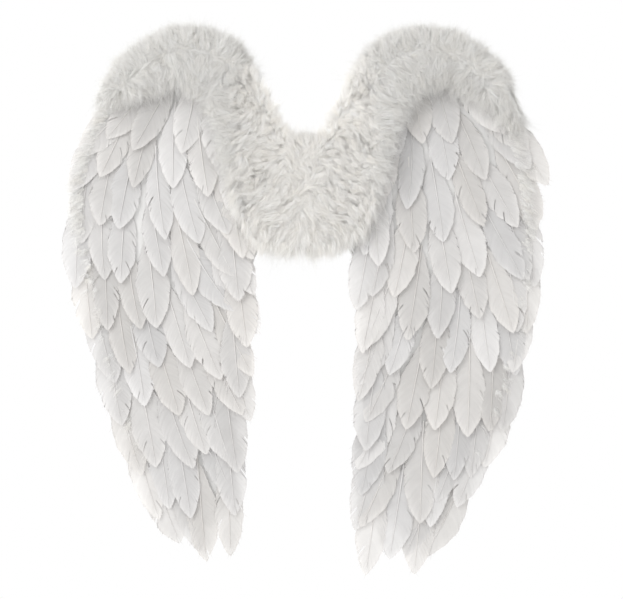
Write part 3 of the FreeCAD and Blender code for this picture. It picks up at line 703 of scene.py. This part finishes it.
# Where the fluff crosses from the yoke to a wing: (out, how far forward, lowest z, highest z), in mm.
BRIDGE = np.array([(16, 29, -70, 58), (32, 28, -72, 78), (44, 26, -74, 110), (56, 26, -68, 134),
                   (70, 27, -50, 146), (86, 29, -14, 150)], dtype=float)
BRIDGE_BACK_Y = -8.0
DOWN_FROM, DOWN_TO = 22.0, 82.0
DOWN_COLUMNS, DOWN_ROWS = 40, 90
BRIDGE_TUFTS = 1500

# The outer edge's down: how far out it starts, its lowest and highest z.
EDGE_TUFTS = 560
EDGE_OUT, EDGE_LOW, EDGE_HIGH = 150 * MM, -330 * MM, 112 * MM

# The hem hangs from the fluff towards a point of the wing: its distance out, and z.
HEM_TUFTS = 620
HEM_TARGET_OUT, HEM_TARGET_Z = 0.140, -0.06

YOKE_TUFTS, YOKE_PLUME = 1500, 21 * MM
WING_TUFTS, WING_PLUME = 3000, 23 * MM
SWIRL_Z, SWIRL_HALF_X, SWIRL_HALF_Z = -6 * MM, 34 * MM, 42 * MM
DROOP_START, DROOP_END = 215 * MM, 245 * MM


def bridge_at(out):
    """How far forward the fluff over a fold lies, its lowest and its highest z, at distances out."""
    return (np.interp(out, BRIDGE[:, 0], BRIDGE[:, k]) for k in (1, 2, 3))


def bridge(side_name, material):
    """Loose fluff in front of a fold."""
    side = SIDES[side_name]
    rng = np.random.default_rng(seed_of("bridge" + side_name))
    out = rng.uniform(BRIDGE[0, 0], BRIDGE[-1, 0], BRIDGE_TUFTS)
    forward, low, high = bridge_at(out)
    z = low + (high - low) * rng.random(BRIDGE_TUFTS)
    depth = forward * rng.uniform(0.55, 0.90, BRIDGE_TUFTS)
    points = stacked(side * out, BRIDGE_BACK_Y - depth, z) * MM
    upper = smoothstep((z - low) / (high - low), 0.75, 1.0)[:, None]
    lower = smoothstep((z - low) / (high - low), 0.25, 0.0)[:, None]
    base = (np.array([side * 0.55, -0.22, -0.35]) + upper * np.array([-side * 0.9, 0.2, 1.3])
            + lower * np.array([-side * 0.3, 0.2, -1.0]))
    aim = unit(base + 0.28 * flow_field(points, 9) + rng.normal(0, 0.12, points.shape))
    facing = FRONTWARD + 0.5 * upper * np.array([-side * 0.5, 0, 1])
    lengths = 19 * MM * rng.uniform(0.7, 1.2, BRIDGE_TUFTS)
    pull = np.array([0.0, 0.25, -0.1]) + rng.normal(0, 0.15, points.shape)
    pieces = [bridge_down(side_name, material)]
    for part in range(2):
        pick = slice(part, None, 2)
        pieces.append(plumes(f"{side_name}_fold_plumes_{part + 1}", material, points[pick], aim[pick],
                             facing[pick], lengths[pick], rng, pull[pick], tone=0.7))
    for piece in pieces:
        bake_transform(piece)


def bridge_down(side_name, material):
    """The packed down under the loose fluff of a fold: a lumpy curtain that hides the hinge."""
    side = SIDES[side_name]
    across, up = np.meshgrid(np.linspace(DOWN_FROM, DOWN_TO, DOWN_COLUMNS),
                             np.linspace(0.03, 0.93, DOWN_ROWS), indexing="ij")
    forward, low, high = bridge_at(across)
    z = low + (high - low) * up
    lumps = lump_field(stacked(side * across, 0.0, z)).reshape(z.shape)
    tuck = smoothstep(up, 0.12, 0.0) + smoothstep(up, 0.86, 0.96)
    y = BRIDGE_BACK_Y - forward * (0.62 - 0.45 * np.clip(tuck, 0, 1)) + 1.8 * lumps
    batch = Batch()
    flat = stacked(0.02 + 0.1 * (across - DOWN_FROM) / (DOWN_TO - DOWN_FROM), 0.02 + 0.1 * up)
    batch.add(stacked(side * across, y, z) * MM, grid_faces(DOWN_COLUMNS, DOWN_ROWS), 0.5, 0.5, flat)
    return batch.build(f"{side_name}_fold_down", material)


def edge_plumes(side_name, material):
    """Wisps of down that stand out past the wing's outer edge, thinner towards the tip."""
    side = SIDES[side_name]
    rng = np.random.default_rng(seed_of("edge" + side_name))
    ring = resampled(back_outline(f"{side_name}_wing_board"), 2.0 * MM)
    outer = (ring[:, 0] * side > EDGE_OUT) & (ring[:, 1] > EDGE_LOW) & (ring[:, 1] < EDGE_HIGH)
    ring, outward = ring[outer], outwards(ring, 1)[outer]
    chance = 0.12 + 0.88 * smoothstep(ring[:, 1], -0.14, 0.08)
    pick = rng.choice(len(ring), size=EDGE_TUFTS, p=chance / chance.sum())
    out = outward[pick]
    start = ring[pick] - out * rng.uniform(-2, 9, EDGE_TUFTS)[:, None] * MM
    points = stacked(start[:, 0], rng.uniform(-17, -10, EDGE_TUFTS) * MM, start[:, 1])
    aim = unit(stacked(out[:, 0], rng.normal(-0.1, 0.15, EDGE_TUFTS), out[:, 1] - 0.55))
    lengths = rng.uniform(12, 25, EDGE_TUFTS) * MM * (0.55 + 0.45 * smoothstep(start[:, 1], -0.12, 0.06))
    piece = plumes(f"{side_name}_edge_plumes", material, points, aim, FRONTWARD, lengths, rng,
                   pull=(0.0, 0.1, -0.35), tone=0.5, warm=0.3)
    tag(piece, f"{side_name}_wing")


def hem_plumes(side_name, material):
    """Long loose barbs that hang from the lower side of the fluff and lie over the first feathers."""
    side = SIDES[side_name]
    rng = np.random.default_rng(seed_of("hem" + side_name))
    verts, tris, normals = soft_core(f"{side_name}_marabou", 1.6 * MM)
    target = np.array([side * HEM_TARGET_OUT, 0, HEM_TARGET_Z])

    def inwards(points):
        return unit((target - points) * IN_XZ)

    def weight(points, facing):
        under = (facing * inwards(points)).sum(axis=1)
        return smoothstep(under, 0.1, 0.7) * smoothstep(-points[:, 1], 9 * MM, 14 * MM)

    points, _ = sample_surface(verts, tris, normals, HEM_TUFTS, rng, weight)
    aim = unit(0.5 * inwards(points) + np.array([0, 0.12, -0.6]) + rng.normal(0, 0.22, points.shape))
    lengths = rng.uniform(16, 36, HEM_TUFTS) * MM
    pull = np.array([0.0, 0.10, -0.1]) + rng.normal(0, 0.12, points.shape)
    piece = plumes(f"{side_name}_hem_plumes", material, points, aim, FRONTWARD, lengths, rng, pull,
                   tone=0.3, warm=0.35, fan=0.5)
    tag(piece, f"{side_name}_wing")


def marabou(material):
    def yoke_comb(points):
        out = stacked(points[:, 0] / SWIRL_HALF_X, 0.0, (points[:, 2] - SWIRL_Z) / SWIRL_HALF_Z)
        rim = smoothstep(np.linalg.norm(out, axis=1), 0.25, 1.0)[:, None]
        return unit(out) * (0.15 + rim) + 0.5 * flow_field(points, 4)

    def yoke_weight(points, facing):
        return (facing[:, 1] < 0.35) * 1.0

    def wing_weight(points, facing):
        return (facing[:, 1] < 0.5) * (1.0 + 0.9 * (facing[:, 1] > -0.5))

    fluff_on("yoke_marabou", yoke_comb, "yoke", material, YOKE_TUFTS, YOKE_PLUME, parts=2,
             weight=yoke_weight, warm=0.5, tone=0.75)
    for side_name in SIDES:
        cord_points, _ = node_arrays(f"{side_name}_marabou_cord")
        cord_points = cord_points[:: max(1, len(cord_points) // 400)]

        def wing_comb(points):
            droop = smoothstep(np.abs(points[:, 0]), DROOP_START, DROOP_END)[:, None]
            droop = droop * np.array([0, 0, -1.3])
            return unit(unit(away_from(points, cord_points) * IN_XZ) + droop)

        fluff_on(f"{side_name}_marabou", wing_comb, f"{side_name}_wing", material, WING_TUFTS, WING_PLUME,
                 parts=4, weight=wing_weight, warm=0.35, tone=0.2)
        bridge(side_name, material)
        edge_plumes(side_name, material)
        hem_plumes(side_name, material)


# ---------------- cloth, tape and elastic

SEAM_IN = 2.6 * MM
STITCH = 2.6 * MM
STITCH_GAP = 1.5 * MM
STITCH_POINTS = 5
STITCH_RADII = 0.24 * MM * np.array([0.5, 0.9, 1, 0.9, 0.5])
LINING_STEP, LINING_EDGE_STEP, LINING_EDGE_GAP = 2.6 * MM, 2.5 * MM, 1.6 * MM
LINING_ON_BOARD_Y, LINING_ON_WIRE_Y = -8.45 * MM, -5.25 * MM
WIRE_Y = -7.0 * MM


def boundary(verts, tris):
    """The outline of a flat patch of triangles, as points in order."""
    edges = {}
    for a, b, c in tris:
        for pair in ((a, b), (b, c), (c, a)):
            key = (min(pair), max(pair))
            edges[key] = None if key in edges else pair
    ahead = {a: b for a, b in (pair for pair in edges.values() if pair)}
    first = at = next(iter(ahead))
    ring = []
    while True:
        ring.append(at)
        at = ahead[at]
        if at == first or len(ring) > len(ahead):
            break
    return verts[ring]


def back_outline(node_name):
    """The outline of a flat node's back face, in (x, z), anticlockwise."""
    verts, tris = node_arrays(node_name)
    first, same = joined(verts)
    verts, tris = verts[first], same[tris]
    tris = tris[(verts[tris][:, :, 1] > verts[:, 1].max() - 1e-5).all(axis=1)]
    ring = boundary(verts, tris.tolist())[:, [0, 2]]
    return ring if signed_area(ring) > 0 else ring[::-1]


def resampled(line, step, closed=True):
    """A line of (x, z) points as points that are about step apart."""
    if closed:
        line = np.vstack([line, line[:1]])
    at = np.r_[0, np.cumsum(np.linalg.norm(np.diff(line, axis=0), axis=1))]
    where = np.linspace(0, at[-1], int(at[-1] / step), endpoint=not closed)
    return stacked(np.interp(where, at, line[:, 0]), np.interp(where, at, line[:, 1]))


def signed_area(ring):
    """The area in a closed outline, positive when it runs anticlockwise."""
    ahead = np.roll(ring, -1, axis=0)
    return 0.5 * np.sum(ring[:, 0] * ahead[:, 1] - ring[:, 1] * ahead[:, 0])


def outwards(ring, reach):
    """The outward direction at each point of a closed outline, from the points reach places away."""
    ahead = np.roll(ring, -reach, axis=0) - np.roll(ring, reach, axis=0)
    return unit(stacked(ahead[:, 1], -ahead[:, 0]))


def inside(points, ring):
    """True for each (x, z) point inside a closed outline."""
    result = np.zeros(len(points), dtype=bool)
    for (x1, z1), (x2, z2) in zip(ring, np.roll(ring, -1, axis=0)):
        if z1 == z2:
            continue
        crosses = (z1 > points[:, 1]) != (z2 > points[:, 1])
        at = x1 + (points[:, 1] - z1) * (x2 - x1) / (z2 - z1)
        result ^= crosses & (points[:, 0] < at)
    return result


def lining(side_name, cloth, thread):
    """The back's cloth: glued to the board inside, and drawn over the wire round its edge."""
    ring = resampled(back_outline(f"{side_name}_wing_lining"), LINING_EDGE_STEP)
    low, high = ring.min(axis=0), ring.max(axis=0)
    points = stacked(*np.meshgrid(*(np.arange(low[k], high[k], LINING_STEP) for k in range(2))))
    points = points[inside(points, ring)]
    gap = np.min(np.linalg.norm(points[:, None] - ring[None, ::2], axis=2), axis=1)
    points = np.vstack([ring, points[gap > LINING_EDGE_GAP]])
    loop = [(k, (k + 1) % len(ring)) for k in range(len(ring))]
    flat, _, tris, *_ = delaunay_2d_cdt([Vector(p) for p in points], loop, [], 1, 1e-7)
    flat = np.array([tuple(p) for p in flat])
    height = cloth_height(side_name)
    verts = stacked(flat[:, 0], height(flat), flat[:, 1])
    uv = (flat - low) / (high - low).max()
    piece = new_object(f"{side_name}_lining_cloth", verts, np.array(tris), cloth, uv)
    seam_line = ring - outwards(ring, 2) * SEAM_IN
    seam = stitches(f"{side_name}_lining_stitches", seam_line, height, thread)
    tag(piece, f"{side_name}_wing", f"{side_name}_wing_lining")
    tag(seam, f"{side_name}_wing")


def cloth_height(side_name):
    """How far back the lining lies at (x, z) points: close to the board, and over the wire."""
    wire = BVHTree.FromPolygons(*[a.tolist() for a in node_arrays(f"{side_name}_frame_wire")])

    def height(points):
        gap = np.array([wire.find_nearest((x, WIRE_Y, z))[3] for x, z in points])
        over = np.exp(-(np.maximum(gap - 0.6 * MM, 0) / (3.0 * MM)) ** 2)
        slack = 0.35 * MM * (1 - np.exp(-gap / (20 * MM)))
        x, z = points[:, 0] * 1000, points[:, 1] * 1000
        folds = (np.sin(x * 0.11 + 2.1 * np.sin(z * 0.031)) * np.sin(z * 0.07 + 1.4 * np.sin(x * 0.04))
                 + 0.5 * np.sin(x * 0.29 + z * 0.17))
        lift = over * (LINING_ON_WIRE_Y - LINING_ON_BOARD_Y)
        return LINING_ON_BOARD_Y + lift + slack * (1 + 0.7 * folds)

    return height


def add_thread(batch, path, radii):
    """One stitch of thread along a path."""
    verts, faces = tube(path, radii, 6)
    batch.add(verts, faces, 0.5, 0.0, verts[:, [0, 2]] + 0.5)


def stitches(name, ring, height, thread):
    """Running stitches round a closed line of (x, z) points on the cloth."""
    line = resampled(ring, STITCH + STITCH_GAP)
    ahead = unit(np.roll(line, -1, axis=0) - line)
    batch = Batch()
    t = np.linspace(-0.5, 0.5, STITCH_POINTS)
    for at, heading in zip(line, ahead):
        middle = at + heading * (t * STITCH)[:, None]
        lift = height(middle) + 0.22 * MM * np.cos(t * 2.6) ** 0.5
        add_thread(batch, stacked(middle[:, 0], lift, middle[:, 1]), STITCH_RADII)
    return batch.build(name, thread)


# The free loop of a strap, in mm: (out from its axis, z) at its corners, and the axis itself.
STRAP_AXIS_OUT = 46.0
STRAP_LOOP = [(1.0, 42.0), (36.0, 37.0), (64.0, 2.0), (73.0, -62.0), (67.0, -128.0), (48.0, -160.0),
              (28.0, -134.0), (16.0, -86.0), (1.0, -42.0)]
STRAP_THICK, STRAP_WIDTH = 1.5, 12.0
STRAP_FRONT_Y = -3.4
STRAP_RIBS, RIB_HEIGHT = 8, 0.22

# The sewn ends of the straps and their tacks, in mm.
STRAP_ENDS = {"top": 42.0, "bottom": -42.0}
TAIL_FROM, TAIL_TO, TAIL_STATIONS = 36.0, 45.6, 12
YOKE_BACK_Y = -6.0
TACKS_OUT = (39.2, 42.8)
TACK_POINTS, TACK_HALF = 79, 5.2
CORNER_SHARE = 0.45


def rounded_route(corners, step=1.5):
    """Straight runs joined by arcs, as points about step apart."""
    points = [corners[0]]
    for before, corner, after in zip(corners, corners[1:], corners[2:]):
        back, ahead = before - corner, after - corner
        run = CORNER_SHARE * min(np.linalg.norm(back), np.linalg.norm(ahead))
        half = (math.pi - math.acos(np.clip(unit(back) @ unit(ahead), -1, 1))) / 2
        radius = run / math.tan(half)
        centre = corner + unit(unit(back) + unit(ahead)) * radius / math.cos(half)
        first, last = corner + unit(back) * run - centre, corner + unit(ahead) * run - centre
        for t in np.linspace(0, 1, max(3, int(radius * 2 * half / step))):
            points.append(centre + unit(first * (1 - t) + last * t) * radius)
    points.append(corners[-1])
    return resampled(np.array(points), step, closed=False)


def elastic_section():
    """Half-round ribs across both faces of the band, as (across the width, thickness) points in mm."""
    ribs = np.linspace(-1, 1, 12 * STRAP_RIBS + 1)
    edge = np.sqrt(np.clip(1 - np.abs(ribs) ** 14, 0, 1))
    rise = RIB_HEIGHT * np.abs(np.sin(ribs * math.pi * STRAP_RIBS / 2)) ** 0.6
    front = stacked(ribs * STRAP_WIDTH / 2, (0.5 * STRAP_THICK - RIB_HEIGHT + rise) * edge)
    return np.vstack([front, front[::-1][1:-1] * [1, -1]])


def band(name, line, width_axis, material, twist=0.0):
    """Sweeps the elastic's section along points in mm. width_axis is the way its width runs."""
    width_axis = np.array(width_axis, dtype=float)
    face = unit(np.cross(unit(np.gradient(line, axis=0)), width_axis))
    share = np.linspace(0, 1, len(line))
    turn = math.radians(twist) * np.sin(math.pi * share) ** 2 * np.sin(math.pi * 2 * share + 0.6)
    cos, sin = np.cos(turn)[:, None], np.sin(turn)[:, None]
    wide, face = cos * width_axis + sin * face, cos * face - sin * width_axis
    section = elastic_section()
    size = len(section)
    knit = 1 + 0.02 * np.sin(np.arange(len(line)) * 2.4)[:, None, None]
    verts = (line[:, None] + wide[:, None] * section[None, :, :1]
             + face[:, None] * section[None, :, 1:] * knit).reshape(-1, 3)
    half = size // 2
    faces = [ring_faces(len(line), size)]
    for row in (np.arange(size), np.arange(size) + len(verts) - size):
        other = np.r_[row[:1], row[half:][::-1]]
        faces.append(stacked(row[:half], row[1:half + 1], other[1:half + 1], other[:half]))
    along = np.linspace(0.02, 0.98, len(line))[:, None]
    uv = stacked(along, 0.02 + 0.2 * np.arange(size)[None] / size)
    return new_object(name, verts * MM, np.vstack(faces), material, uv)


def straps(elastic, thread):
    for side_name, side in SIDES.items():
        line = rounded_route(np.array([(STRAP_AXIS_OUT + out, z) for out, z in STRAP_LOOP]))
        path = stacked(side * line[:, 0], STRAP_FRONT_Y + STRAP_WIDTH / 2, line[:, 1])
        loop = band(f"{side_name}_strap_elastic", path, (0, 1, 0), elastic, twist=9)
        tag(loop, f"{side_name}_strap", f"{side_name}_shoulder_strap")
        for end_name, z in STRAP_ENDS.items():
            out = np.linspace(TAIL_FROM, TAIL_TO, TAIL_STATIONS)
            rise = YOKE_BACK_Y + 0.5 * STRAP_THICK + 0.05 * np.sin(out * 2.0)
            path = stacked(side * out, rise, z)
            tail = band(f"{side_name}_strap_end_{end_name}", path, (0, 0, 1), elastic)
            tack = bar_tack(f"{side_name}_strap_tack_{end_name}", side, z, thread)
            tag(tail, "yoke", f"{side_name}_strap_ends")
            tag(tack, "yoke", f"{side_name}_strap_stitches")


def bar_tack(name, side, z, thread):
    """Two close zigzags of thread across a strap's end."""
    batch = Batch()
    step = np.arange(TACK_POINTS)
    sway = 0.8 * (2 * np.abs(step / 2 % 2 - 1) - 1)
    y = YOKE_BACK_Y + STRAP_THICK + 0.12 + 0.10 * np.cos(step * math.pi)
    up = np.linspace(-TACK_HALF, TACK_HALF, TACK_POINTS)
    for out in TACKS_OUT:
        add_thread(batch, stacked(side * (out + sway), y, z + up) * MM, 0.21 * MM)
    return batch.build(name, thread)


# The back pad: its grid, channels, stitches and piping. Stitches and channels are shares of its half sizes.
PAD_COLUMNS, PAD_ROWS = 90, 140
PAD_MARGIN = 0.9 * MM
PAD_CHANNELS = (-0.34, 0.34)
CHANNEL_HALF = 1.7 * MM
CHANNEL_DEPTH = 0.42
PAD_STITCH, PAD_STITCH_STEP = 0.075, 0.115
PIPING_RADIUS, PIPING_POINTS = 0.85 * MM, 320


def pad_plan(u, v, half_x, half_z):
    """The pad's outline: pulled in between its corners. u and v run from -1 to 1."""
    bulge = 1 - 0.035 * (1 - np.abs(v) ** 2) * np.abs(u) ** 3
    waist = 1 - 0.03 * (1 - np.abs(u) ** 2) * np.abs(v) ** 3
    corner = 1 - 0.07 * (np.abs(u) * np.abs(v)) ** 6
    return half_x * u * bulge * corner, half_z * v * waist * corner


def square(columns, rows):
    """u and v from -1 to 1 over a grid."""
    return np.meshgrid(np.linspace(-1, 1, columns), np.linspace(-1, 1, rows), indexing="ij")


def back_pad(cloth, thread):
    """A thin stuffed pad: crowned, with two sewn channels and piping."""
    low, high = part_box("back_pad")
    halves = 0.5 * (high.x - low.x) - PAD_MARGIN, 0.5 * (high.z - low.z) - PAD_MARGIN
    half_x, half_z = halves
    seam_y = low.y + 0.30 * (high.y - low.y)
    rise = high.y - seam_y - 0.25 * MM
    u, v = square(PAD_COLUMNS, PAD_ROWS)
    x, z = pad_plan(u, v, *halves)
    edge = np.minimum((1 - np.abs(u)) * half_x, (1 - np.abs(v)) * half_z)
    crown = (1 - np.abs(u) ** 4) ** 0.55 * (1 - np.abs(v) ** 6) ** 0.55
    channels = sum(np.exp(-(((v - at) * half_z) / CHANNEL_HALF) ** 2) for at in PAD_CHANNELS)
    crown = crown * (1 - CHANNEL_DEPTH * channels)
    run = np.arctan2(v, u)
    pucker = 0.16 * MM * np.sin(run * 46 + 2 * np.sin(run * 7)) * np.exp(-edge / (4 * MM))
    pucker = pucker + 0.14 * MM * channels * np.sin(u * 60 + 2 * np.sin(u * 11)) * (np.abs(u) < 0.97)
    soft = 0.12 * MM * np.sin(x * 190 + 1.3 * np.sin(z * 90)) * np.sin(z * 150)
    back = seam_y + rise * crown + (pucker + soft) * np.minimum(crown * 3, 1)
    front = seam_y + (low.y + 0.05 * MM - seam_y) * np.minimum(crown * 1.6, 1)
    faces = grid_faces(PAD_COLUMNS, PAD_ROWS)
    faces = np.vstack([faces, faces[:, ::-1] + PAD_COLUMNS * PAD_ROWS])
    uv = stacked(u * 0.3 + 0.5, v * 0.45 + 0.5)
    pad = new_object("back_cushion", np.vstack([stacked(x, back, z), stacked(x, front, z)]), faces, cloth,
                     np.vstack([uv, uv]))
    weld(pad)
    around = np.linspace(0, 4, PIPING_POINTS + 1)[:-1]
    ring_u, ring_v = (np.interp(around, np.arange(5), corner) for corner in ([-1, 1, 1, -1, -1],
                                                                            [-1, -1, 1, 1, -1]))
    ring_x, ring_z = pad_plan(ring_u, ring_v, *halves)
    path = stacked(ring_x, seam_y, ring_z)
    verts, faces = tube(np.vstack([path, path[:2]]), PIPING_RADIUS, 10)
    piping = new_object("back_cushion_piping", verts, faces, cloth, verts[:, [0, 2]] * 4 + 0.5)
    seams = Batch()
    for at in PAD_CHANNELS:
        for middle in np.arange(-0.88, 0.9, PAD_STITCH_STEP):
            line_u = middle + np.linspace(-0.5, 0.5, STITCH_POINTS) * PAD_STITCH
            line_x, line_z = pad_plan(line_u, np.full(STITCH_POINTS, at), *halves)
            line_y = seam_y + rise * (1 - line_u ** 4) ** 0.55 * (1 - CHANNEL_DEPTH) + 0.05 * MM
            add_thread(seams, stacked(line_x, line_y + 0.12 * MM, line_z), STITCH_RADII)
    seam = seams.build("back_cushion_stitches", thread)
    for obj, slot in ((pad, "pad_cloth"), (piping, "pad_cloth"), (seam, "thread")):
        tag(obj, "yoke", "back_pad")


def weld(obj):
    """Joins points that coincide."""
    mesh = bmesh.new()
    mesh.from_mesh(obj.data)
    bmesh.ops.remove_doubles(mesh, verts=mesh.verts, dist=1e-6)
    mesh.to_mesh(obj.data)
    mesh.free()


FELT_COLUMNS, FELT_ROWS = 50, 80
FELT_THICK = 1.0 * MM


def front_felt(felt):
    """The felt glued to the front of the yoke board, under the fluff."""
    low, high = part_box("front_felt")
    u, v = square(FELT_COLUMNS, FELT_ROWS)
    x, z = u * 0.5 * (high.x - low.x), v * 0.5 * (high.z - low.z)
    wave = 0.2 * MM * np.sin(x * 160 + 1.2 * np.sin(z * 110)) * np.sin(z * 170)
    y = low.y + 0.1 * MM + wave * (1 - np.maximum(np.abs(u), np.abs(v)) ** 8)
    piece = new_object("front_felt_cloth", stacked(x, y, z), grid_faces(FELT_COLUMNS, FELT_ROWS), felt,
                       stacked(u * 0.45 + 0.5, v * 0.45 + 0.5))
    thicken = piece.modifiers.new("felt thickness", "SOLIDIFY")
    thicken.thickness = FELT_THICK
    thicken.offset = 0.0
    tag(piece, "yoke", "front_felt")


# The hinge casings: a sleeve round the wire's root leg, and a leaf on the yoke board.
HINGE_OUT = 50.0 * MM
CASING_RADIUS = 3.1 * MM
CASING_STATIONS, CASING_RING = 90, 28
LEAF_FROM, LEAF_Y = 30.5 * MM, -8.95 * MM
LEAF_COLUMNS = 16


def hinge_casings(tape):
    """Doubled tape sewn round each wing's root leg, with a leaf on the yoke board's front."""
    for side_name, side in SIDES.items():
        low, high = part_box(f"{side_name}_hinge_casing")
        up = np.linspace(low.z, high.z, CASING_STATIONS)
        turn = np.linspace(0, 2 * np.pi, CASING_RING, endpoint=False)
        z, t = np.meshgrid(up, turn, indexing="ij")
        creases = 0.10 * MM * np.sin(z * 700 + 2 * np.sin(t * 2) + 1.5 * np.sin(z * 230))
        creases = creases + 0.06 * MM * np.sin(z * 1500 + 3 * t)
        r = CASING_RADIUS + creases * (0.5 + 0.5 * np.cos(t))
        sleeve = stacked(side * HINGE_OUT + r * np.cos(t) * side, WIRE_Y + r * np.sin(t), z)
        out, z = np.meshgrid(np.linspace(LEAF_FROM, HINGE_OUT, LEAF_COLUMNS), up, indexing="ij")
        leaf = stacked(side * out, LEAF_Y + 0.12 * MM * np.sin(z * 420 + out * 300), z)
        points = np.vstack([sleeve, leaf])
        faces = np.vstack([ring_faces(CASING_STATIONS, CASING_RING),
                           grid_faces(LEAF_COLUMNS, CASING_STATIONS) + len(sleeve)])
        piece = new_object(f"{side_name}_casing_tape", points, faces, tape, points[:, [0, 2]] * 4 + 0.5)
        tag(piece, "yoke", f"{side_name}_hinge_casing")


# ---------------- light, camera and floor


def camera():
    data = bpy.data.cameras.new("camera")
    data.lens, data.sensor_width = LENS, SENSOR
    obj = placed("camera", data)
    obj.location = (VIEW_CENTRE[0], VIEW_FRONT_Y - VIEW_WIDTH * LENS / SENSOR, VIEW_CENTRE[1])
    obj.rotation_euler = (math.pi / 2, 0, 0)
    bpy.context.scene.camera = obj


def key_light():
    data = bpy.data.lights.new("key", "AREA")
    data.size, data.energy = KEY_SIZE, KEY_POWER
    obj = placed("key", data)
    obj.location = KEY_DISTANCE * Vector(KEY_FROM).normalized() + Vector(LIGHT_TARGET)
    obj.rotation_euler = (Vector(LIGHT_TARGET) - obj.location).to_track_quat("-Z", "Y").to_euler()


def studio_light():
    """Brighter on the key's side and dimmer on the other, with a pure white patch straight behind."""
    world = bpy.data.worlds.new("studio")
    world.use_nodes = True
    tree = world.node_tree
    background = tree.nodes["Background"]
    shade = along_direction(tree, KEY_FROM, low=-0.7, high=1.0, at_low=LIGHT_LOW, at_high=LIGHT_HIGH)
    behind = along_direction(tree, (0, 1, 0), low=0.72, high=0.93, at_low=0.0, at_high=1.0)
    both = tree.nodes.new("ShaderNodeMix")
    tree.links.new(behind, both.inputs["Factor"])
    tree.links.new(shade, both.inputs["A"])
    both.inputs["B"].default_value = 1.0
    tree.links.new(both.outputs["Result"], background.inputs["Strength"])
    background.inputs["Color"].default_value = (1, 1, 1, 1)
    bpy.context.scene.world = world


def along_direction(tree, direction, low, high, at_low, at_high):
    """A value that goes from at_low to at_high as the view direction turns to a direction."""
    coords = tree.nodes.new("ShaderNodeTexCoord")
    towards = tree.nodes.new("ShaderNodeVectorMath")
    towards.operation = "DOT_PRODUCT"
    towards.inputs[1].default_value = Vector(direction).normalized()
    tree.links.new(coords.outputs["Generated"], towards.inputs[0])
    return eased(tree, towards.outputs["Value"], low, high, at_low, at_high)


def pale_floor():
    """A plain pale floor below the hanging wings, which fades out away from them."""
    mat, tree, shader = principled("floor_look", (0.80, 0.80, 0.795), 0.9)
    coords = tree.nodes.new("ShaderNodeTexCoord")
    reach = tree.nodes.new("ShaderNodeVectorMath")
    reach.operation = "LENGTH"
    tree.links.new(coords.outputs["Object"], reach.inputs[0])
    fade = eased(tree, reach.outputs["Value"], FLOOR_SOLID, FLOOR_END)
    show_both(tree, shader, tree.nodes.new("ShaderNodeBsdfTransparent"), fade)
    corners = FLOOR_END * np.array([[-1, -1, 0], [1, -1, 0], [1, 1, 0], [-1, 1, 0]], dtype=float)
    floor = new_object("floor", corners, np.array([[0, 1, 2, 3]]), mat, smooth=False)
    floor.location.z = FLOOR_Z


def studio():
    bpy.context.scene.view_settings.view_transform = "Standard"
    studio_light()
    pale_floor()
    key_light()


# ---------------- all of it

camera()
studio()
feather_rows(soft_material("goose_feather_look", FEATHER_DARK, FEATHER_LIGHT, patch_scale=38.0,
                           roughness=0.6, sheen=0.2, through=0.3))
marabou(soft_material("marabou_look", FLUFF_DARK, FLUFF_LIGHT, patch_scale=60.0, roughness=0.8, sheen=0.3,
                      through=0.5))
card = fibre_material("stiff_card_look", (0.70, 0.695, 0.685), scale=300.0, roughness=0.85, depth=0.05 * MM)
felt = fibre_material("felt_look", (0.82, 0.815, 0.80), scale=500.0, roughness=0.95, depth=0.2 * MM,
                      sheen=0.4)
cotton = woven_material("cotton_look", (0.74, 0.735, 0.72), thread=260.0, depth=0.12 * MM, stain=0.08)
tape = woven_material("cotton_tape_look", (0.83, 0.82, 0.80), thread=320.0)
elastic = ribbed_material("elastic_look", (0.84, 0.84, 0.83), rib=160.0)
thread = ribbed_material("thread_look", (0.86, 0.86, 0.85), rib=500.0)
for wing in SIDES:
    lining(wing, cotton, thread)
straps(elastic, thread)
back_pad(cotton, thread)
front_felt(felt)
hinge_casings(tape)
dress_cad([("board", card, "stiff_card"), ("wire", steel_material(), "frame_steel"),
           ("cord", tape, "marabou")])
